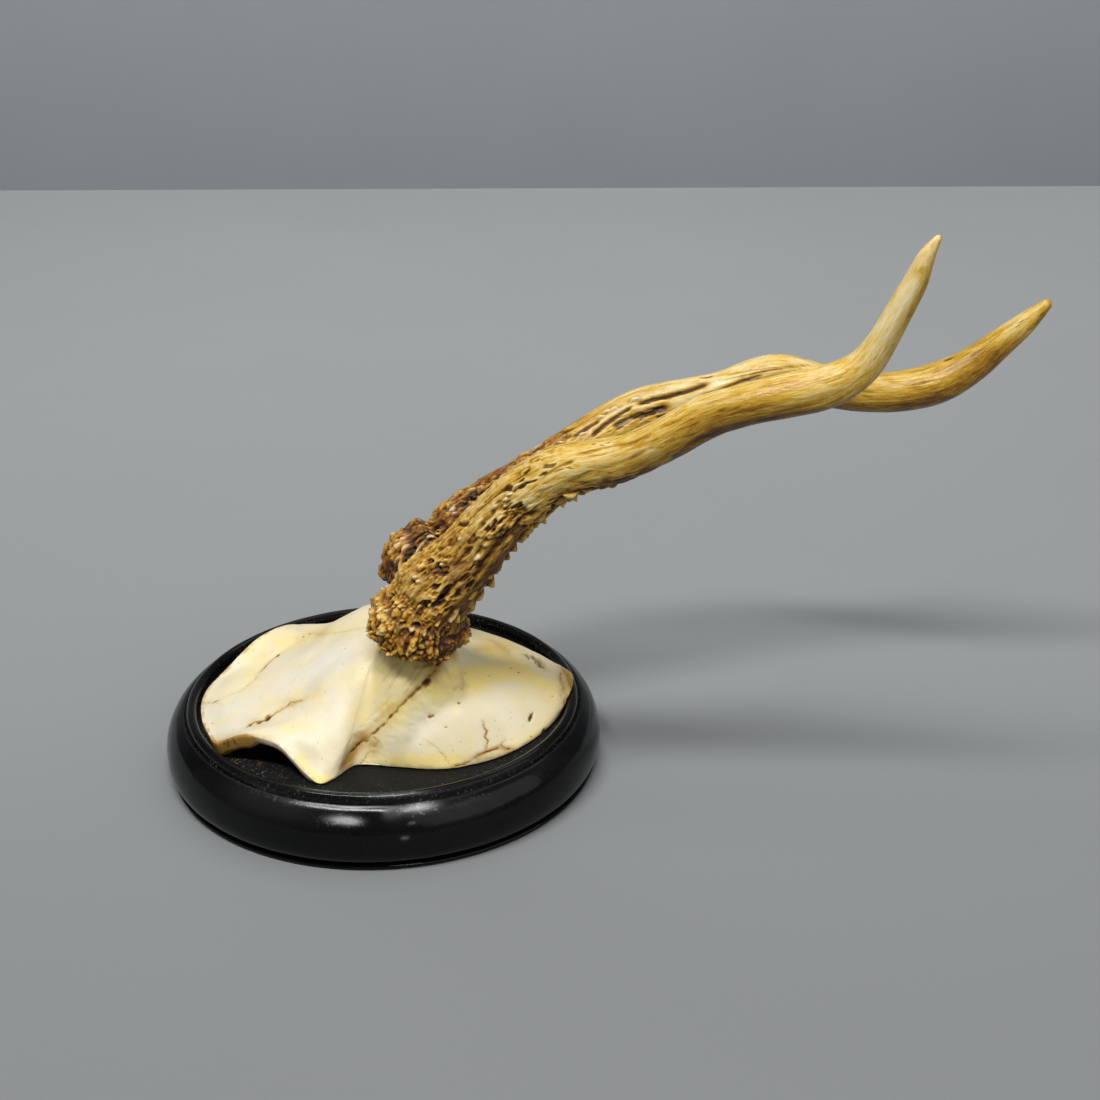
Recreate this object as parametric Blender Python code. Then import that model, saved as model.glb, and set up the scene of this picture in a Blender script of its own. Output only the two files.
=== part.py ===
"""Pair of roebuck antlers on their skull cap, mounted on a round turned base.

Metres, +Z up. The origin is the centre of the base's underside. The skull's
long axis lies along X: the sawn brow end points to -X, the antlers lean back
and out towards +X.
"""
import math

import bmesh
import bpy
import numpy as np
from mathutils import Vector

MM = 0.001

# ---- base, mm -----------------------------------------------------------
BASE_R = 62.5            # widest radius, low on the side
BASE_WIDE_Z = 6.6        # height of the widest point
BASE_H = 17.6            # top of the rounded outer edge
BASE_TOP_R = 57.4        # where the rounded side reaches the top
SIDE_POWER = 1.1         # roundness of the side
FOOT_R = 61.2            # thin disc it stands on
FOOT_H = 1.3
FOOT_GROOVE_R = 59.6     # bottom of the groove above that disc
FOOT_GROOVE_Z = 2.0
RECESS_R = 52.9          # sunk floor that the bone stands in
RECESS_Z = 16.3
BEAD_R = 54.6            # centre line of the small bead round the floor
BEAD_Z = 18.0
BEAD_HALF_WIDTH = 1.6
BEAD_RISE = 1.9
GROOVE_R = 56.4          # fine groove between bead and edge
GROOVE_Z = 17.2
BASE_SEGMENTS = 72

# ---- skull cap, mm ------------------------------------------------------
GAP = 0.3                # clearance between pieces that rest on each other
BONE_Z = RECESS_Z + GAP  # plane that the sawn rim stands on
MIDLINE_Y = -1.8         # the bone sits a little off the base's centre
MIDLINE_BEND = 0.09      # sideways drift of the back of the skull
CAP_CENTRE = (7.1, -0.9)
CAP_WALL = 3.4
# rim of the cap going round from the brow: x, y, height of its outer edge
CAP_RIM = (
    (-51.9, 0.3, 18.9), (-51.7, -5.2, 18.9), (-50.3, -13.0, 18.9),
    (-47.3, -21.8, 19.1), (-44.9, -27.0, 20.1),
    # near eye socket
    (-41.6, -29.6, 23.0), (-37.0, -31.1, 25.0), (-31.6, -33.8, 25.5),
    (-26.9, -35.9, 24.5), (-23.4, -38.7, 22.2), (-19.5, -41.9, 19.1),
    # corner behind the near eye
    (-15.5, -44.4, 17.2), (-11.8, -41.7, 17.2), (-8.3, -36.7, 17.0),
    (-4.6, -34.8, 16.9),
    # near side of the braincase
    (5.9, -36.7, 16.9), (16.7, -38.2, 16.9), (24.8, -36.5, 16.9),
    (33.1, -32.7, 16.9), (40.1, -26.6, 16.9), (47.5, -17.0, 17.3),
    (52.0, -8.2, 19.6), (54.8, -0.4, 20.9), (54.7, 6.4, 20.9),
    # far side of the braincase
    (52.7, 10.2, 20.5), (51.1, 13.8, 18.9), (47.0, 20.4, 17.3),
    (40.2, 28.1, 16.9), (33.2, 33.0, 16.9), (25.0, 35.4, 16.9),
    (16.9, 35.5, 16.9), (6.0, 33.2, 16.9), (-4.5, 31.3, 17.0),
    # corner behind the far eye
    (-8.2, 33.2, 17.0), (-11.7, 38.2, 17.2), (-15.3, 40.9, 17.2),
    (-19.3, 38.6, 19.1),
    # far eye socket
    (-23.2, 35.4, 22.5), (-26.7, 33.0, 25.5), (-31.4, 30.0, 26.5),
    (-36.9, 25.4, 25.9), (-41.0, 20.8, 24.3), (-44.8, 16.0, 22.0),
    (-48.5, 11.6, 19.8), (-51.0, 6.4, 19.0),
)
# height of the cap's upper surface on stations along the skull (rows) and
# across it, measured from the midline (columns)
ACROSS = (0.0, 8.0, 16.0, 22.0, 28.0, 33.0, 38.0, 44.0)
CAP_HEIGHTS = (
    (-53, (19.2, 19.2, 18.9, 18.6, 18.6, 18.0, 17.5, 17.3)),
    (-45, (21.2, 21.2, 20.6, 20.8, 21.2, 20.0, 18.5, 17.3)),
    (-37, (23.4, 23.4, 22.6, 22.9, 24.8, 24.0, 20.5, 18.3)),
    (-29, (26.6, 26.6, 25.4, 25.0, 26.2, 26.0, 21.5, 18.4)),
    (-21, (30.6, 30.6, 29.4, 28.6, 27.6, 25.8, 21.5, 18.0)),
    (-15, (34.2, 34.2, 34.4, 32.4, 29.2, 25.8, 21.2, 17.4)),
    (-9, (37.8, 37.8, 38.2, 35.6, 30.6, 25.4, 19.6, 17.2)),
    (-4, (39.8, 40.0, 40.8, 37.2, 29.0, 22.0, 18.0, 17.2)),
    (1, (41.6, 41.8, 42.0, 35.0, 26.0, 20.6, 18.0, 17.2)),
    (6, (42.4, 42.2, 39.0, 31.6, 26.0, 21.4, 18.0, 17.2)),
    (11, (41.6, 41.2, 36.6, 31.2, 27.2, 22.4, 18.0, 17.2)),
    (17, (38.5, 37.9, 34.6, 31.2, 27.8, 23.0, 18.0, 17.2)),
    (23, (34.2, 33.7, 31.8, 29.4, 26.4, 22.0, 18.0, 17.2)),
    (29, (31.2, 30.9, 29.6, 27.6, 24.4, 20.0, 17.4, 17.2)),
    (37, (29.0, 28.6, 27.2, 24.6, 20.4, 17.8, 17.4, 17.2)),
    (45, (26.7, 26.1, 24.1, 20.7, 18.3, 17.3, 17.3, 17.2)),
    (51, (24.4, 23.8, 22.0, 20.4, 18.6, 17.3, 17.3, 17.2)),
    (57, (21.6, 21.4, 21.0, 19.6, 17.6, 17.3, 17.3, 17.2)),
)
CAP_AROUND = 84
CAP_RINGS = 9
CAP_INNER_RINGS = 5
PEDICLE_TOP_R = 9.4
PEDICLE_LOW_R = 10.4
PEDICLE_REACH = 18.0     # from the burr's middle down into the cap
FLARE_FROM = 10.0        # the bone climbs to each pedicle from this far out
FLARE_SLOPE = 2.0
FLARE_SLOPE_REAR = 6.0   # it drops more steeply to the rear
FLARE_BELOW = 8.6        # where it meets the pedicle, below the burr's middle
FLARE_SOFT = 2.4
FLARE_SOFT_REAR = 1.2
PEDICLE_AROUND = 20

# ---- antlers, mm --------------------------------------------------------
BURR_BELOW = 4.6         # burr's middle to the antler's underside
BURR_LEAN = 0.2          # how far the burrs tilt back and out
ANTLER_AROUND = 14
ANTLER_RINGS = 38
# centre line from the burr to the tip and half thickness: x, y, z, r
LEFT_STATIONS = (
    (11.9, -19.2, 52.7, 14.3), (15.1, -19.7, 60.2, 11.0), (20.2, -20.4, 66.2, 9.7),
    (26.0, -21.3, 72.7, 8.5), (31.0, -22.2, 79.8, 7.9), (36.4, -23.4, 86.6, 7.6),
    (42.3, -24.5, 92.4, 7.6), (49.8, -26.1, 98.3, 7.3), (57.8, -28.0, 101.4, 6.4),
    (67.5, -30.5, 104.4, 5.9), (77.5, -33.1, 110.3, 5.6), (87.2, -35.3, 116.7, 5.6),
    (96.6, -37.2, 120.4, 5.4), (105.5, -38.9, 123.0, 5.6), (114.8, -40.3, 125.5, 5.7),
    (120.7, -41.2, 128.3, 5.1), (125.2, -41.8, 131.9, 4.3), (128.6, -42.5, 137.5, 3.7),
    (131.7, -43.2, 144.1, 3.4), (133.9, -43.7, 149.3, 3.3), (136.3, -44.1, 154.5, 3.0),
    (138.2, -44.6, 160.9, 2.1), (140.7, -44.8, 165.3, 0.8),
)
RIGHT_STATIONS = (
    (14.1, 15.6, 53.3, 14.3), (20.5, 17.7, 58.0, 11.0), (26.2, 19.6, 62.7, 9.7),
    (31.4, 21.3, 66.7, 8.8), (37.0, 22.9, 70.4, 8.3), (41.7, 24.1, 73.0, 8.0),
    (51.0, 26.3, 77.9, 7.8), (60.1, 28.3, 83.4, 7.6), (71.8, 31.0, 90.1, 7.2),
    (79.3, 32.4, 92.7, 6.9), (88.2, 33.8, 94.1, 6.6), (95.4, 34.4, 95.3, 6.3),
    (102.4, 34.6, 97.2, 6.2), (110.0, 34.6, 100.6, 6.0), (116.8, 34.4, 101.8, 6.0),
    (124.1, 34.1, 100.1, 5.9), (134.0, 33.8, 97.2, 5.8), (145.6, 33.3, 96.1, 5.7),
    (154.2, 32.8, 96.9, 5.9), (162.5, 32.2, 99.3, 6.0), (170.7, 31.4, 104.3, 5.2),
    (178.4, 30.2, 111.4, 4.0), (185.4, 28.8, 118.4, 3.0), (190.4, 27.9, 123.9, 1.5),
)


def material(name, colour, roughness):
    m = bpy.data.materials.new(name)
    m.use_nodes = True
    shader = m.node_tree.nodes["Principled BSDF"]
    shader.inputs["Base Color"].default_value = (*colour, 1.0)
    shader.inputs["Roughness"].default_value = roughness
    shader.inputs["Metallic"].default_value = 0.0
    return m


def add_object(name, mesh, mat):
    obj = bpy.data.objects.new(name, mesh)
    bpy.context.scene.collection.objects.link(obj)
    obj.data.materials.clear()
    obj.data.materials.append(mat)
    return obj


def from_rings(name, rings, start=None, end=None):
    """Closed skin over rings of points, closed by a point or a flat fan."""
    bm = bmesh.new()
    rows = [[bm.verts.new(Vector(p) * MM) for p in ring] for ring in rings]
    n = len(rows[0])
    for a, b in zip(rows, rows[1:]):
        for i in range(n):
            bm.faces.new((a[i], a[(i + 1) % n], b[(i + 1) % n], b[i]))
    for row, tip in ((rows[0], start), (rows[-1], end)):
        if tip is None:
            bm.faces.new(row)
        else:
            top = bm.verts.new(Vector(tip) * MM)
            for i in range(n):
                bm.faces.new((row[i], row[(i + 1) % n], top))
    bmesh.ops.recalc_face_normals(bm, faces=bm.faces)
    for f in bm.faces:
        f.smooth = True
    mesh = bpy.data.meshes.new(name)
    bm.to_mesh(mesh)
    bm.free()
    return mesh


def catmull(points, count, closed=False):
    """Smooth curve through points, evenly spaced along its length."""
    p = np.array(points, float)
    if closed:
        p = np.vstack([p[-1:], p, p[:2]])
    else:
        p = np.vstack([2 * p[0] - p[1], p, 2 * p[-1] - p[-2]])
    fine = []
    steps = np.linspace(0.0, 1.0, 24, endpoint=False)[:, None]
    for a, b, c, d in zip(p, p[1:], p[2:], p[3:]):
        t = steps
        fine.append(0.5 * ((2 * b) + (c - a) * t
                           + (2 * a - 5 * b + 4 * c - d) * t ** 2
                           + (3 * b - a - 3 * c + d) * t ** 3))
    fine = np.vstack(fine + ([] if closed else [p[-2:-1]]))
    if closed:
        fine = np.vstack([fine, fine[:1]])
    run = np.r_[0.0, np.cumsum(np.linalg.norm(np.diff(fine[:, :3], axis=0), axis=1))]
    want = np.linspace(0.0, run[-1], count, endpoint=not closed)
    return np.stack([np.interp(want, run, fine[:, k]) for k in range(fine.shape[1])], 1)


# ---- base ---------------------------------------------------------------

def base_profile():
    """Radius and height of the turned outline, from the underside's centre
    round the side to the middle of the sunk floor."""
    pts = [(FOOT_R - 0.5, 0.0), (FOOT_R, 0.5), (FOOT_R, FOOT_H - 0.2),
           (FOOT_GROOVE_R, FOOT_GROOVE_Z - 0.2), (FOOT_GROOVE_R, FOOT_GROOVE_Z)]
    for k in range(1, 5):                        # under the widest point
        a = math.pi / 2 * k / 4
        pts.append((FOOT_GROOVE_R + (BASE_R - FOOT_GROOVE_R) * math.sin(a) ** 0.8,
                    FOOT_GROOVE_Z + (BASE_WIDE_Z - FOOT_GROOVE_Z) * (1 - math.cos(a))))
    for k in range(1, 9):                        # rounded side
        a = math.pi / 2 * k / 8
        pts.append((BASE_TOP_R + (BASE_R - BASE_TOP_R) * math.cos(a) ** SIDE_POWER,
                    BASE_WIDE_Z + (BASE_H - BASE_WIDE_Z) * math.sin(a)))
    pts += [(GROOVE_R + 0.3, BASE_H), (GROOVE_R, GROOVE_Z)]
    for k in range(0, 8):                        # bead round the floor
        a = math.pi * k / 7
        pts.append((BEAD_R + BEAD_HALF_WIDTH * math.cos(a), BEAD_Z + BEAD_RISE * math.sin(a)))
    pts.append((RECESS_R, RECESS_Z))
    return pts


def make_base(mat):
    rings = []
    for r, z in base_profile():
        rings.append([(r * math.cos(2 * math.pi * i / BASE_SEGMENTS),
                       r * math.sin(2 * math.pi * i / BASE_SEGMENTS), z)
                      for i in range(BASE_SEGMENTS)])
    return add_object("base", from_rings("base", rings), mat)


# ---- skull cap ----------------------------------------------------------

def midline(x):
    return MIDLINE_Y + MIDLINE_BEND * np.maximum(np.asarray(x, float) - 10.0, 0.0)


def cap_height(x, y):
    """Height of the cap's upper surface, smooth between its stations."""
    rows = np.array([r[1] for r in CAP_HEIGHTS])
    xs = np.array([r[0] for r in CAP_HEIGHTS], float)
    side = np.abs(np.asarray(y, float) - midline(x))
    i = np.clip(np.searchsorted(xs, x) - 1, 0, len(xs) - 2)
    t = np.clip((x - xs[i]) / (xs[i + 1] - xs[i]), 0, 1)
    across = np.array(ACROSS)
    j = np.clip(np.searchsorted(across, side) - 1, 0, len(across) - 2)
    u = np.clip((side - across[j]) / (across[j + 1] - across[j]), 0, 1)
    t, u = t * t * (3 - 2 * t) * 0.5 + t * 0.5, u * u * (3 - 2 * u) * 0.5 + u * 0.5
    low = rows[i, j] * (1 - u) + rows[i, j + 1] * u
    high = rows[i + 1, j] * (1 - u) + rows[i + 1, j + 1] * u
    z = low * (1 - t) + high * t
    for stations in (LEFT_STATIONS, RIGHT_STATIONS):
        cx, cy, cz, _ = stations[0]
        dx, dy = np.asarray(x, float) - cx, np.asarray(y, float) - cy
        away = np.maximum(np.hypot(dx, dy), 1e-6)
        # the stump runs out gently to the front and drops steeply to the rear
        rear = np.clip((dx / away + 0.1) / 0.7, 0, 1)
        fall = FLARE_SLOPE + (FLARE_SLOPE_REAR - FLARE_SLOPE) * rear
        soft = FLARE_SOFT + (FLARE_SOFT_REAR - FLARE_SOFT) * rear
        slope = cz - FLARE_BELOW - fall * np.maximum(away - FLARE_FROM, 0.0)
        z = soft * np.logaddexp(z / soft, slope / soft)
    return z


def cap_rings(rim, count, drop, wall):
    """Rings from the rim to the middle of one of the cap's two surfaces."""
    centre = np.array(CAP_CENTRE)
    rings = []
    for k in range(count):
        rho = 1.0 - (k / count) ** 1.35 * 0.985
        xy = centre + (rim[:, :2] - centre) * rho
        full = np.maximum(cap_height(xy[:, 0], xy[:, 1]) - drop, BONE_Z + 0.2)
        # steep walls round the braincase, a plain lip round the brow
        steep = 1.0 / (1.0 + np.exp(-(rim[:, 0] + 4.0) / 4.0))
        power = 1.0 + 3.6 * steep
        lift = (1.0 - rho ** power) ** (1.0 / (1.0 + 0.9 * steep)) if k else np.zeros(len(rim))
        brow = np.clip((1.0 - rho) / 0.10, 0, 1) if k else np.zeros(len(rim))
        share = np.clip(lift * 1.25 * steep + brow * (1 - steep), 0, 1)
        z = rim[:, 2] * (1 - share) + np.maximum(full, rim[:, 2] * (1 - steep) * (rho > 0.9)) * share
        rings.append(np.column_stack([xy, z]))
    return rings


def burr_axis(side):
    n = np.array([BURR_LEAN, side * BURR_LEAN, 1.0])
    return n / np.linalg.norm(n)


def make_pedicle(name, station, side):
    """Bony stump that carries an antler, from inside the cap up to its burr."""
    n = burr_axis(side)
    middle = np.array(station[:3])
    low = middle - n * PEDICLE_REACH
    top = middle - n * (BURR_BELOW + GAP)
    a = np.cross(n, (0.0, 1.0, 0.0))
    a /= np.linalg.norm(a)
    b = np.cross(n, a)
    rings = []
    for t in (0.0, 0.35, 0.7, 0.93, 1.0):
        r = PEDICLE_LOW_R + (PEDICLE_TOP_R - PEDICLE_LOW_R) * min(t / 0.7, 1.0)
        if t == 1.0:
            r -= 0.9
        c = low + (top - low) * t
        rings.append([c + r * (math.cos(w) * a + math.sin(w) * b)
                      for w in (2 * math.pi * i / PEDICLE_AROUND for i in range(PEDICLE_AROUND))])
    mesh = from_rings(name, rings)
    obj = bpy.data.objects.new(name, mesh)
    bpy.context.scene.collection.objects.link(obj)
    obj.hide_render = True
    obj.display_type = "WIRE"
    return obj


def make_cap(mat):
    rim = catmull(CAP_RIM, CAP_AROUND, closed=True)
    outer = cap_rings(rim, CAP_RINGS, 0.0, 0.0)
    # the inner edge stands on the base, set in by the wall's thickness
    centre = np.array(CAP_CENTRE)
    inward = centre - rim[:, :2]
    inward /= np.linalg.norm(inward, axis=1)[:, None]
    inner_rim = rim.copy()
    inner_rim[:, :2] += inward * CAP_WALL
    inner_rim[:, 2] = np.maximum(BONE_Z, rim[:, 2] - 2.2)
    # the rim keeps clear of the bead where it reaches over the sunk floor
    outer_foot = rim.copy()
    reach = np.hypot(rim[:, 0], rim[:, 1])
    outer_foot[:, :2] += inward * (0.5 + np.maximum(reach - 52.8, 0.0) * 1.2)[:, None]
    outer_foot[:, 2] = np.maximum(BONE_Z, rim[:, 2] - 2.2)
    inner = cap_rings(inner_rim, CAP_INNER_RINGS, 4.0, 0.0)
    rings = outer[::-1] + [outer_foot] + inner
    top = np.array([*CAP_CENTRE, cap_height(CAP_CENTRE[0], CAP_CENTRE[1])])
    under = top - np.array([0.0, 0.0, 4.0])
    mesh = from_rings("skull_cap", [list(map(tuple, r)) for r in rings], start=tuple(top), end=tuple(under))
    cap = add_object("skull_cap", mesh, mat)
    for name, station, side in (("left_pedicle_tool", LEFT_STATIONS[0], -1.0),
                                ("right_pedicle_tool", RIGHT_STATIONS[0], 1.0)):
        join = cap.modifiers.new(name, "BOOLEAN")
        join.operation = "UNION"
        join.solver = "EXACT"
        join.object = make_pedicle(name, station, side)
    return cap


# ---- antlers ------------------------------------------------------------

def make_antler(name, stations, side, mat):
    n = burr_axis(side)
    middle = np.array(stations[0][:3])
    low = middle - n * BURR_BELOW
    path = np.vstack([[*low, 0.0], [*middle, 0.0]]
                     + [[*s[:3], 0.0] for s in stations[1:]])
    curve = catmull(path, ANTLER_RINGS * 6)[:, :3]
    run = np.r_[0.0, np.cumsum(np.linalg.norm(np.diff(curve, axis=0), axis=1))]
    # half thickness along the way: flared burr, then the beam's stations
    at = [0.0, 0.6, 2.4, BURR_BELOW, 6.6, 8.6]
    size = [9.4, 12.6, 14.0, 14.3, 13.4, 12.2]
    for s in stations[1:]:
        i = np.argmin(np.linalg.norm(curve - np.array(s[:3]), axis=1))
        at.append(run[i])
        size.append(s[3])
    far = np.linspace(0.0, 1.0, ANTLER_RINGS - 7)
    where = np.r_[0.0, 0.6, 2.4, BURR_BELOW, 6.6, 8.6,
                  10.6 + (run[-1] - 10.6) * far]
    centre = np.stack([np.interp(where, run, curve[:, k]) for k in range(3)], 1)
    radius = np.interp(where, at, size)
    tangent = np.gradient(centre, where, axis=0)
    tangent /= np.linalg.norm(tangent, axis=1)[:, None]
    tangent[:3] = n
    across = np.cross(tangent[0], (0.0, 1.0, 0.0))
    rings = []
    for c, t, r in zip(centre, tangent, radius):
        across = across - t * np.dot(across, t)      # carried along untwisted
        across /= np.linalg.norm(across)
        other = np.cross(t, across)
        rings.append([tuple(c + r * (math.cos(w) * across + math.sin(w) * other))
                      for w in (2 * math.pi * i / ANTLER_AROUND for i in range(ANTLER_AROUND))])
    tip = centre[-1] + tangent[-1] * radius[-1] * 0.8
    return add_object(name, from_rings(name, rings, end=tuple(tip)), mat)


def main():
    for obj in list(bpy.data.objects):
        bpy.data.objects.remove(obj, do_unlink=True)
    black = material("ebonised_wood", (0.012, 0.012, 0.013), 0.32)
    bone = material("bone", (0.78, 0.69, 0.47), 0.45)
    antler = material("antler", (0.50, 0.33, 0.13), 0.42)
    make_base(black)
    make_cap(bone)
    make_antler("left_antler", LEFT_STATIONS, -1.0, antler)
    make_antler("right_antler", RIGHT_STATIONS, 1.0, antler)


main()
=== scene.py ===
"""Looks of a pair of roebuck antlers on their skull cap and turned base.

Metres in Blender; the shape functions below work in millimetres.
"""
import math

import bpy
import numpy as np
from mathutils import Matrix, Vector
from mathutils.bvhtree import BVHTree


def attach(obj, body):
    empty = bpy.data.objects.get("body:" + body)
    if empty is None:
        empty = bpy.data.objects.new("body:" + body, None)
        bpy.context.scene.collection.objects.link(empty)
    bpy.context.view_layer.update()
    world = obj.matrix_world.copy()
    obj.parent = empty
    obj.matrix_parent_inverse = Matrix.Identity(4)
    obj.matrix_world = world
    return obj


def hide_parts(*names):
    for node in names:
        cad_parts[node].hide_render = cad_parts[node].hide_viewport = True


MM = 0.001

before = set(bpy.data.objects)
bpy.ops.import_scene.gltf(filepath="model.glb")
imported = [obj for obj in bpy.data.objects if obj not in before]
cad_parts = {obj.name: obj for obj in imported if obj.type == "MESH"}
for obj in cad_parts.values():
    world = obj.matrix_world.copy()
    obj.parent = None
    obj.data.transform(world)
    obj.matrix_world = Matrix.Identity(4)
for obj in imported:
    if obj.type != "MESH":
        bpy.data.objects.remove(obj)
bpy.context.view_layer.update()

# ---- camera, in the photograph's own terms --------------------------------
HEADING = math.radians(2.0)
PITCH = math.radians(25.23)
ROLL = math.radians(0.50)
DISTANCE, ASIDE, ABOVE = 584.87, -48.46, -58.49
FOCAL_PX, PHOTO_PX = 2000.0, 1100.0


def camera_axes():
    right = np.array([1.0, 0.0, 0.0])
    ahead = np.array([0.0, math.cos(PITCH), -math.sin(PITCH)])
    up = np.array([0.0, math.sin(PITCH), math.cos(PITCH)])
    where = -ASIDE * right - ABOVE * up - DISTANCE * ahead
    c, s = math.cos(HEADING), math.sin(HEADING)
    turn = np.array([[c, s, 0.0], [-s, c, 0.0], [0.0, 0.0, 1.0]])
    cr, sr = math.cos(ROLL), math.sin(ROLL)
    return (turn @ (cr * right - sr * up), turn @ (sr * right + cr * up),
            turn @ ahead, turn @ where)


CAM_RIGHT, CAM_UP, CAM_AHEAD, CAM_AT = camera_axes()


def sight(u, v):
    """Direction of the line of sight through a point of the picture."""
    d = (CAM_AHEAD + CAM_RIGHT * (u - PHOTO_PX / 2) / FOCAL_PX
         - CAM_UP * (v - PHOTO_PX / 2) / FOCAL_PX)
    return d / np.linalg.norm(d)


# ---- dimensions shared with the solids, mm ---------------------------------
BASE_R, BASE_WIDE_Z, BASE_H = 62.5, 6.6, 17.6
SIDE_IN, SIDE_UP = 7.75, 11.7
FOOT_R, FOOT_H, FOOT_GROOVE_R, FOOT_GROOVE_Z = 61.2, 1.3, 59.6, 2.0
RECESS_R, RECESS_Z = 52.9, 16.3
BEAD_R, BEAD_Z, BEAD_HALF_WIDTH, BEAD_RISE = 54.6, 18.0, 1.6, 1.9
GROOVE_R, GROOVE_Z = 56.4, 17.2

GAP = 0.3
BONE_Z = RECESS_Z + GAP
MIDLINE_Y, MIDLINE_BEND = -1.8, 0.09
CAP_CENTRE = np.array([7.1, -0.9])
CAP_RIM = (
    (-51.9, 0.3, 18.9), (-51.7, -5.2, 18.9), (-50.3, -13.0, 18.9),
    (-47.3, -21.8, 19.1), (-44.9, -27.0, 20.1),
    # near eye socket
    (-41.6, -29.6, 23.0), (-37.0, -31.1, 25.0), (-31.6, -33.8, 25.5),
    (-26.9, -35.9, 24.5), (-23.4, -38.7, 22.2), (-19.5, -41.9, 19.1),
    # corner behind the near eye
    (-15.5, -44.4, 17.2), (-11.8, -41.7, 17.2), (-8.3, -36.7, 17.0),
    (-4.6, -34.8, 16.9),
    # near side of the braincase
    (5.9, -36.7, 16.9), (16.7, -38.2, 16.9), (24.8, -36.5, 16.9),
    (33.1, -32.7, 16.9), (40.1, -26.6, 16.9), (47.5, -17.0, 17.3),
    (52.0, -8.2, 19.6), (54.8, -0.4, 20.9), (54.7, 6.4, 20.9),
    # far side of the braincase
    (52.7, 10.2, 20.5), (51.1, 13.8, 18.9), (47.0, 20.4, 17.3),
    (40.2, 28.1, 16.9), (33.2, 33.0, 16.9), (25.0, 35.4, 16.9),
    (16.9, 35.5, 16.9), (6.0, 33.2, 16.9), (-4.5, 31.3, 17.0),
    # corner behind the far eye
    (-8.2, 33.2, 17.0), (-11.7, 38.2, 17.2), (-15.3, 40.9, 17.2),
    (-19.3, 38.6, 19.1),
    # far eye socket
    (-23.2, 35.4, 22.5), (-26.7, 33.0, 25.5), (-31.4, 30.0, 26.5),
    (-36.9, 25.4, 25.9), (-41.0, 20.8, 24.3), (-44.8, 16.0, 22.0),
    (-48.5, 11.6, 19.8), (-51.0, 6.4, 19.0),
)
ACROSS = np.array([0.0, 8.0, 16.0, 22.0, 28.0, 33.0, 38.0, 44.0])
CAP_HEIGHTS = (
    (-53, (19.2, 19.2, 18.9, 18.6, 18.6, 18.0, 17.5, 17.3)),
    (-45, (21.2, 21.2, 20.6, 20.8, 21.2, 20.0, 18.5, 17.3)),
    (-37, (23.4, 23.4, 22.6, 22.9, 24.8, 24.0, 20.5, 18.3)),
    (-29, (26.6, 26.6, 25.4, 25.0, 26.2, 26.0, 21.5, 18.4)),
    (-21, (30.6, 30.6, 29.4, 28.6, 27.6, 25.8, 21.5, 18.0)),
    (-15, (34.2, 34.2, 34.4, 32.4, 29.2, 25.8, 21.2, 17.4)),
    (-9, (37.8, 37.8, 38.2, 35.6, 30.6, 25.4, 19.6, 17.2)),
    (-4, (39.8, 40.0, 40.8, 37.2, 29.0, 22.0, 18.0, 17.2)),
    (1, (41.6, 41.8, 42.0, 35.0, 26.0, 20.6, 18.0, 17.2)),
    (6, (42.4, 42.2, 39.0, 31.6, 26.0, 21.4, 18.0, 17.2)),
    (11, (41.6, 41.2, 36.6, 31.2, 27.2, 22.4, 18.0, 17.2)),
    (17, (38.5, 37.9, 34.6, 31.2, 27.8, 23.0, 18.0, 17.2)),
    (23, (34.2, 33.7, 31.8, 29.4, 26.4, 22.0, 18.0, 17.2)),
    (29, (31.2, 30.9, 29.6, 27.6, 24.4, 20.0, 17.4, 17.2)),
    (37, (29.0, 28.6, 27.2, 24.6, 20.4, 17.8, 17.4, 17.2)),
    (45, (26.7, 26.1, 24.1, 20.7, 18.3, 17.3, 17.3, 17.2)),
    (51, (24.4, 23.8, 22.0, 20.4, 18.6, 17.3, 17.3, 17.2)),
    (57, (21.6, 21.4, 21.0, 19.6, 17.6, 17.3, 17.3, 17.2)),
)

BURR_BELOW, BURR_LEAN = 4.6, 0.2
# centre line from the burr to the tip and half thickness: x, y, z, r
LEFT_STATIONS = (
    (11.9, -19.2, 52.7, 14.3), (15.1, -19.7, 60.2, 11.0), (20.2, -20.4, 66.2, 9.7),
    (26.0, -21.3, 72.7, 8.5), (31.0, -22.2, 79.8, 7.9), (36.4, -23.4, 86.6, 7.6),
    (42.3, -24.5, 92.4, 7.6), (49.8, -26.1, 98.3, 7.3), (57.8, -28.0, 101.4, 6.4),
    (67.5, -30.5, 104.4, 5.9), (77.5, -33.1, 110.3, 5.6), (87.2, -35.3, 116.7, 5.6),
    (96.6, -37.2, 120.4, 5.4), (105.5, -38.9, 123.0, 5.6), (114.8, -40.3, 125.5, 5.7),
    (120.7, -41.2, 128.3, 5.1), (125.2, -41.8, 131.9, 4.3), (128.6, -42.5, 137.5, 3.7),
    (131.7, -43.2, 144.1, 3.4), (133.9, -43.7, 149.3, 3.3), (136.3, -44.1, 154.5, 3.0),
    (138.2, -44.6, 160.9, 2.1), (140.7, -44.8, 165.3, 0.8),
)
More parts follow.
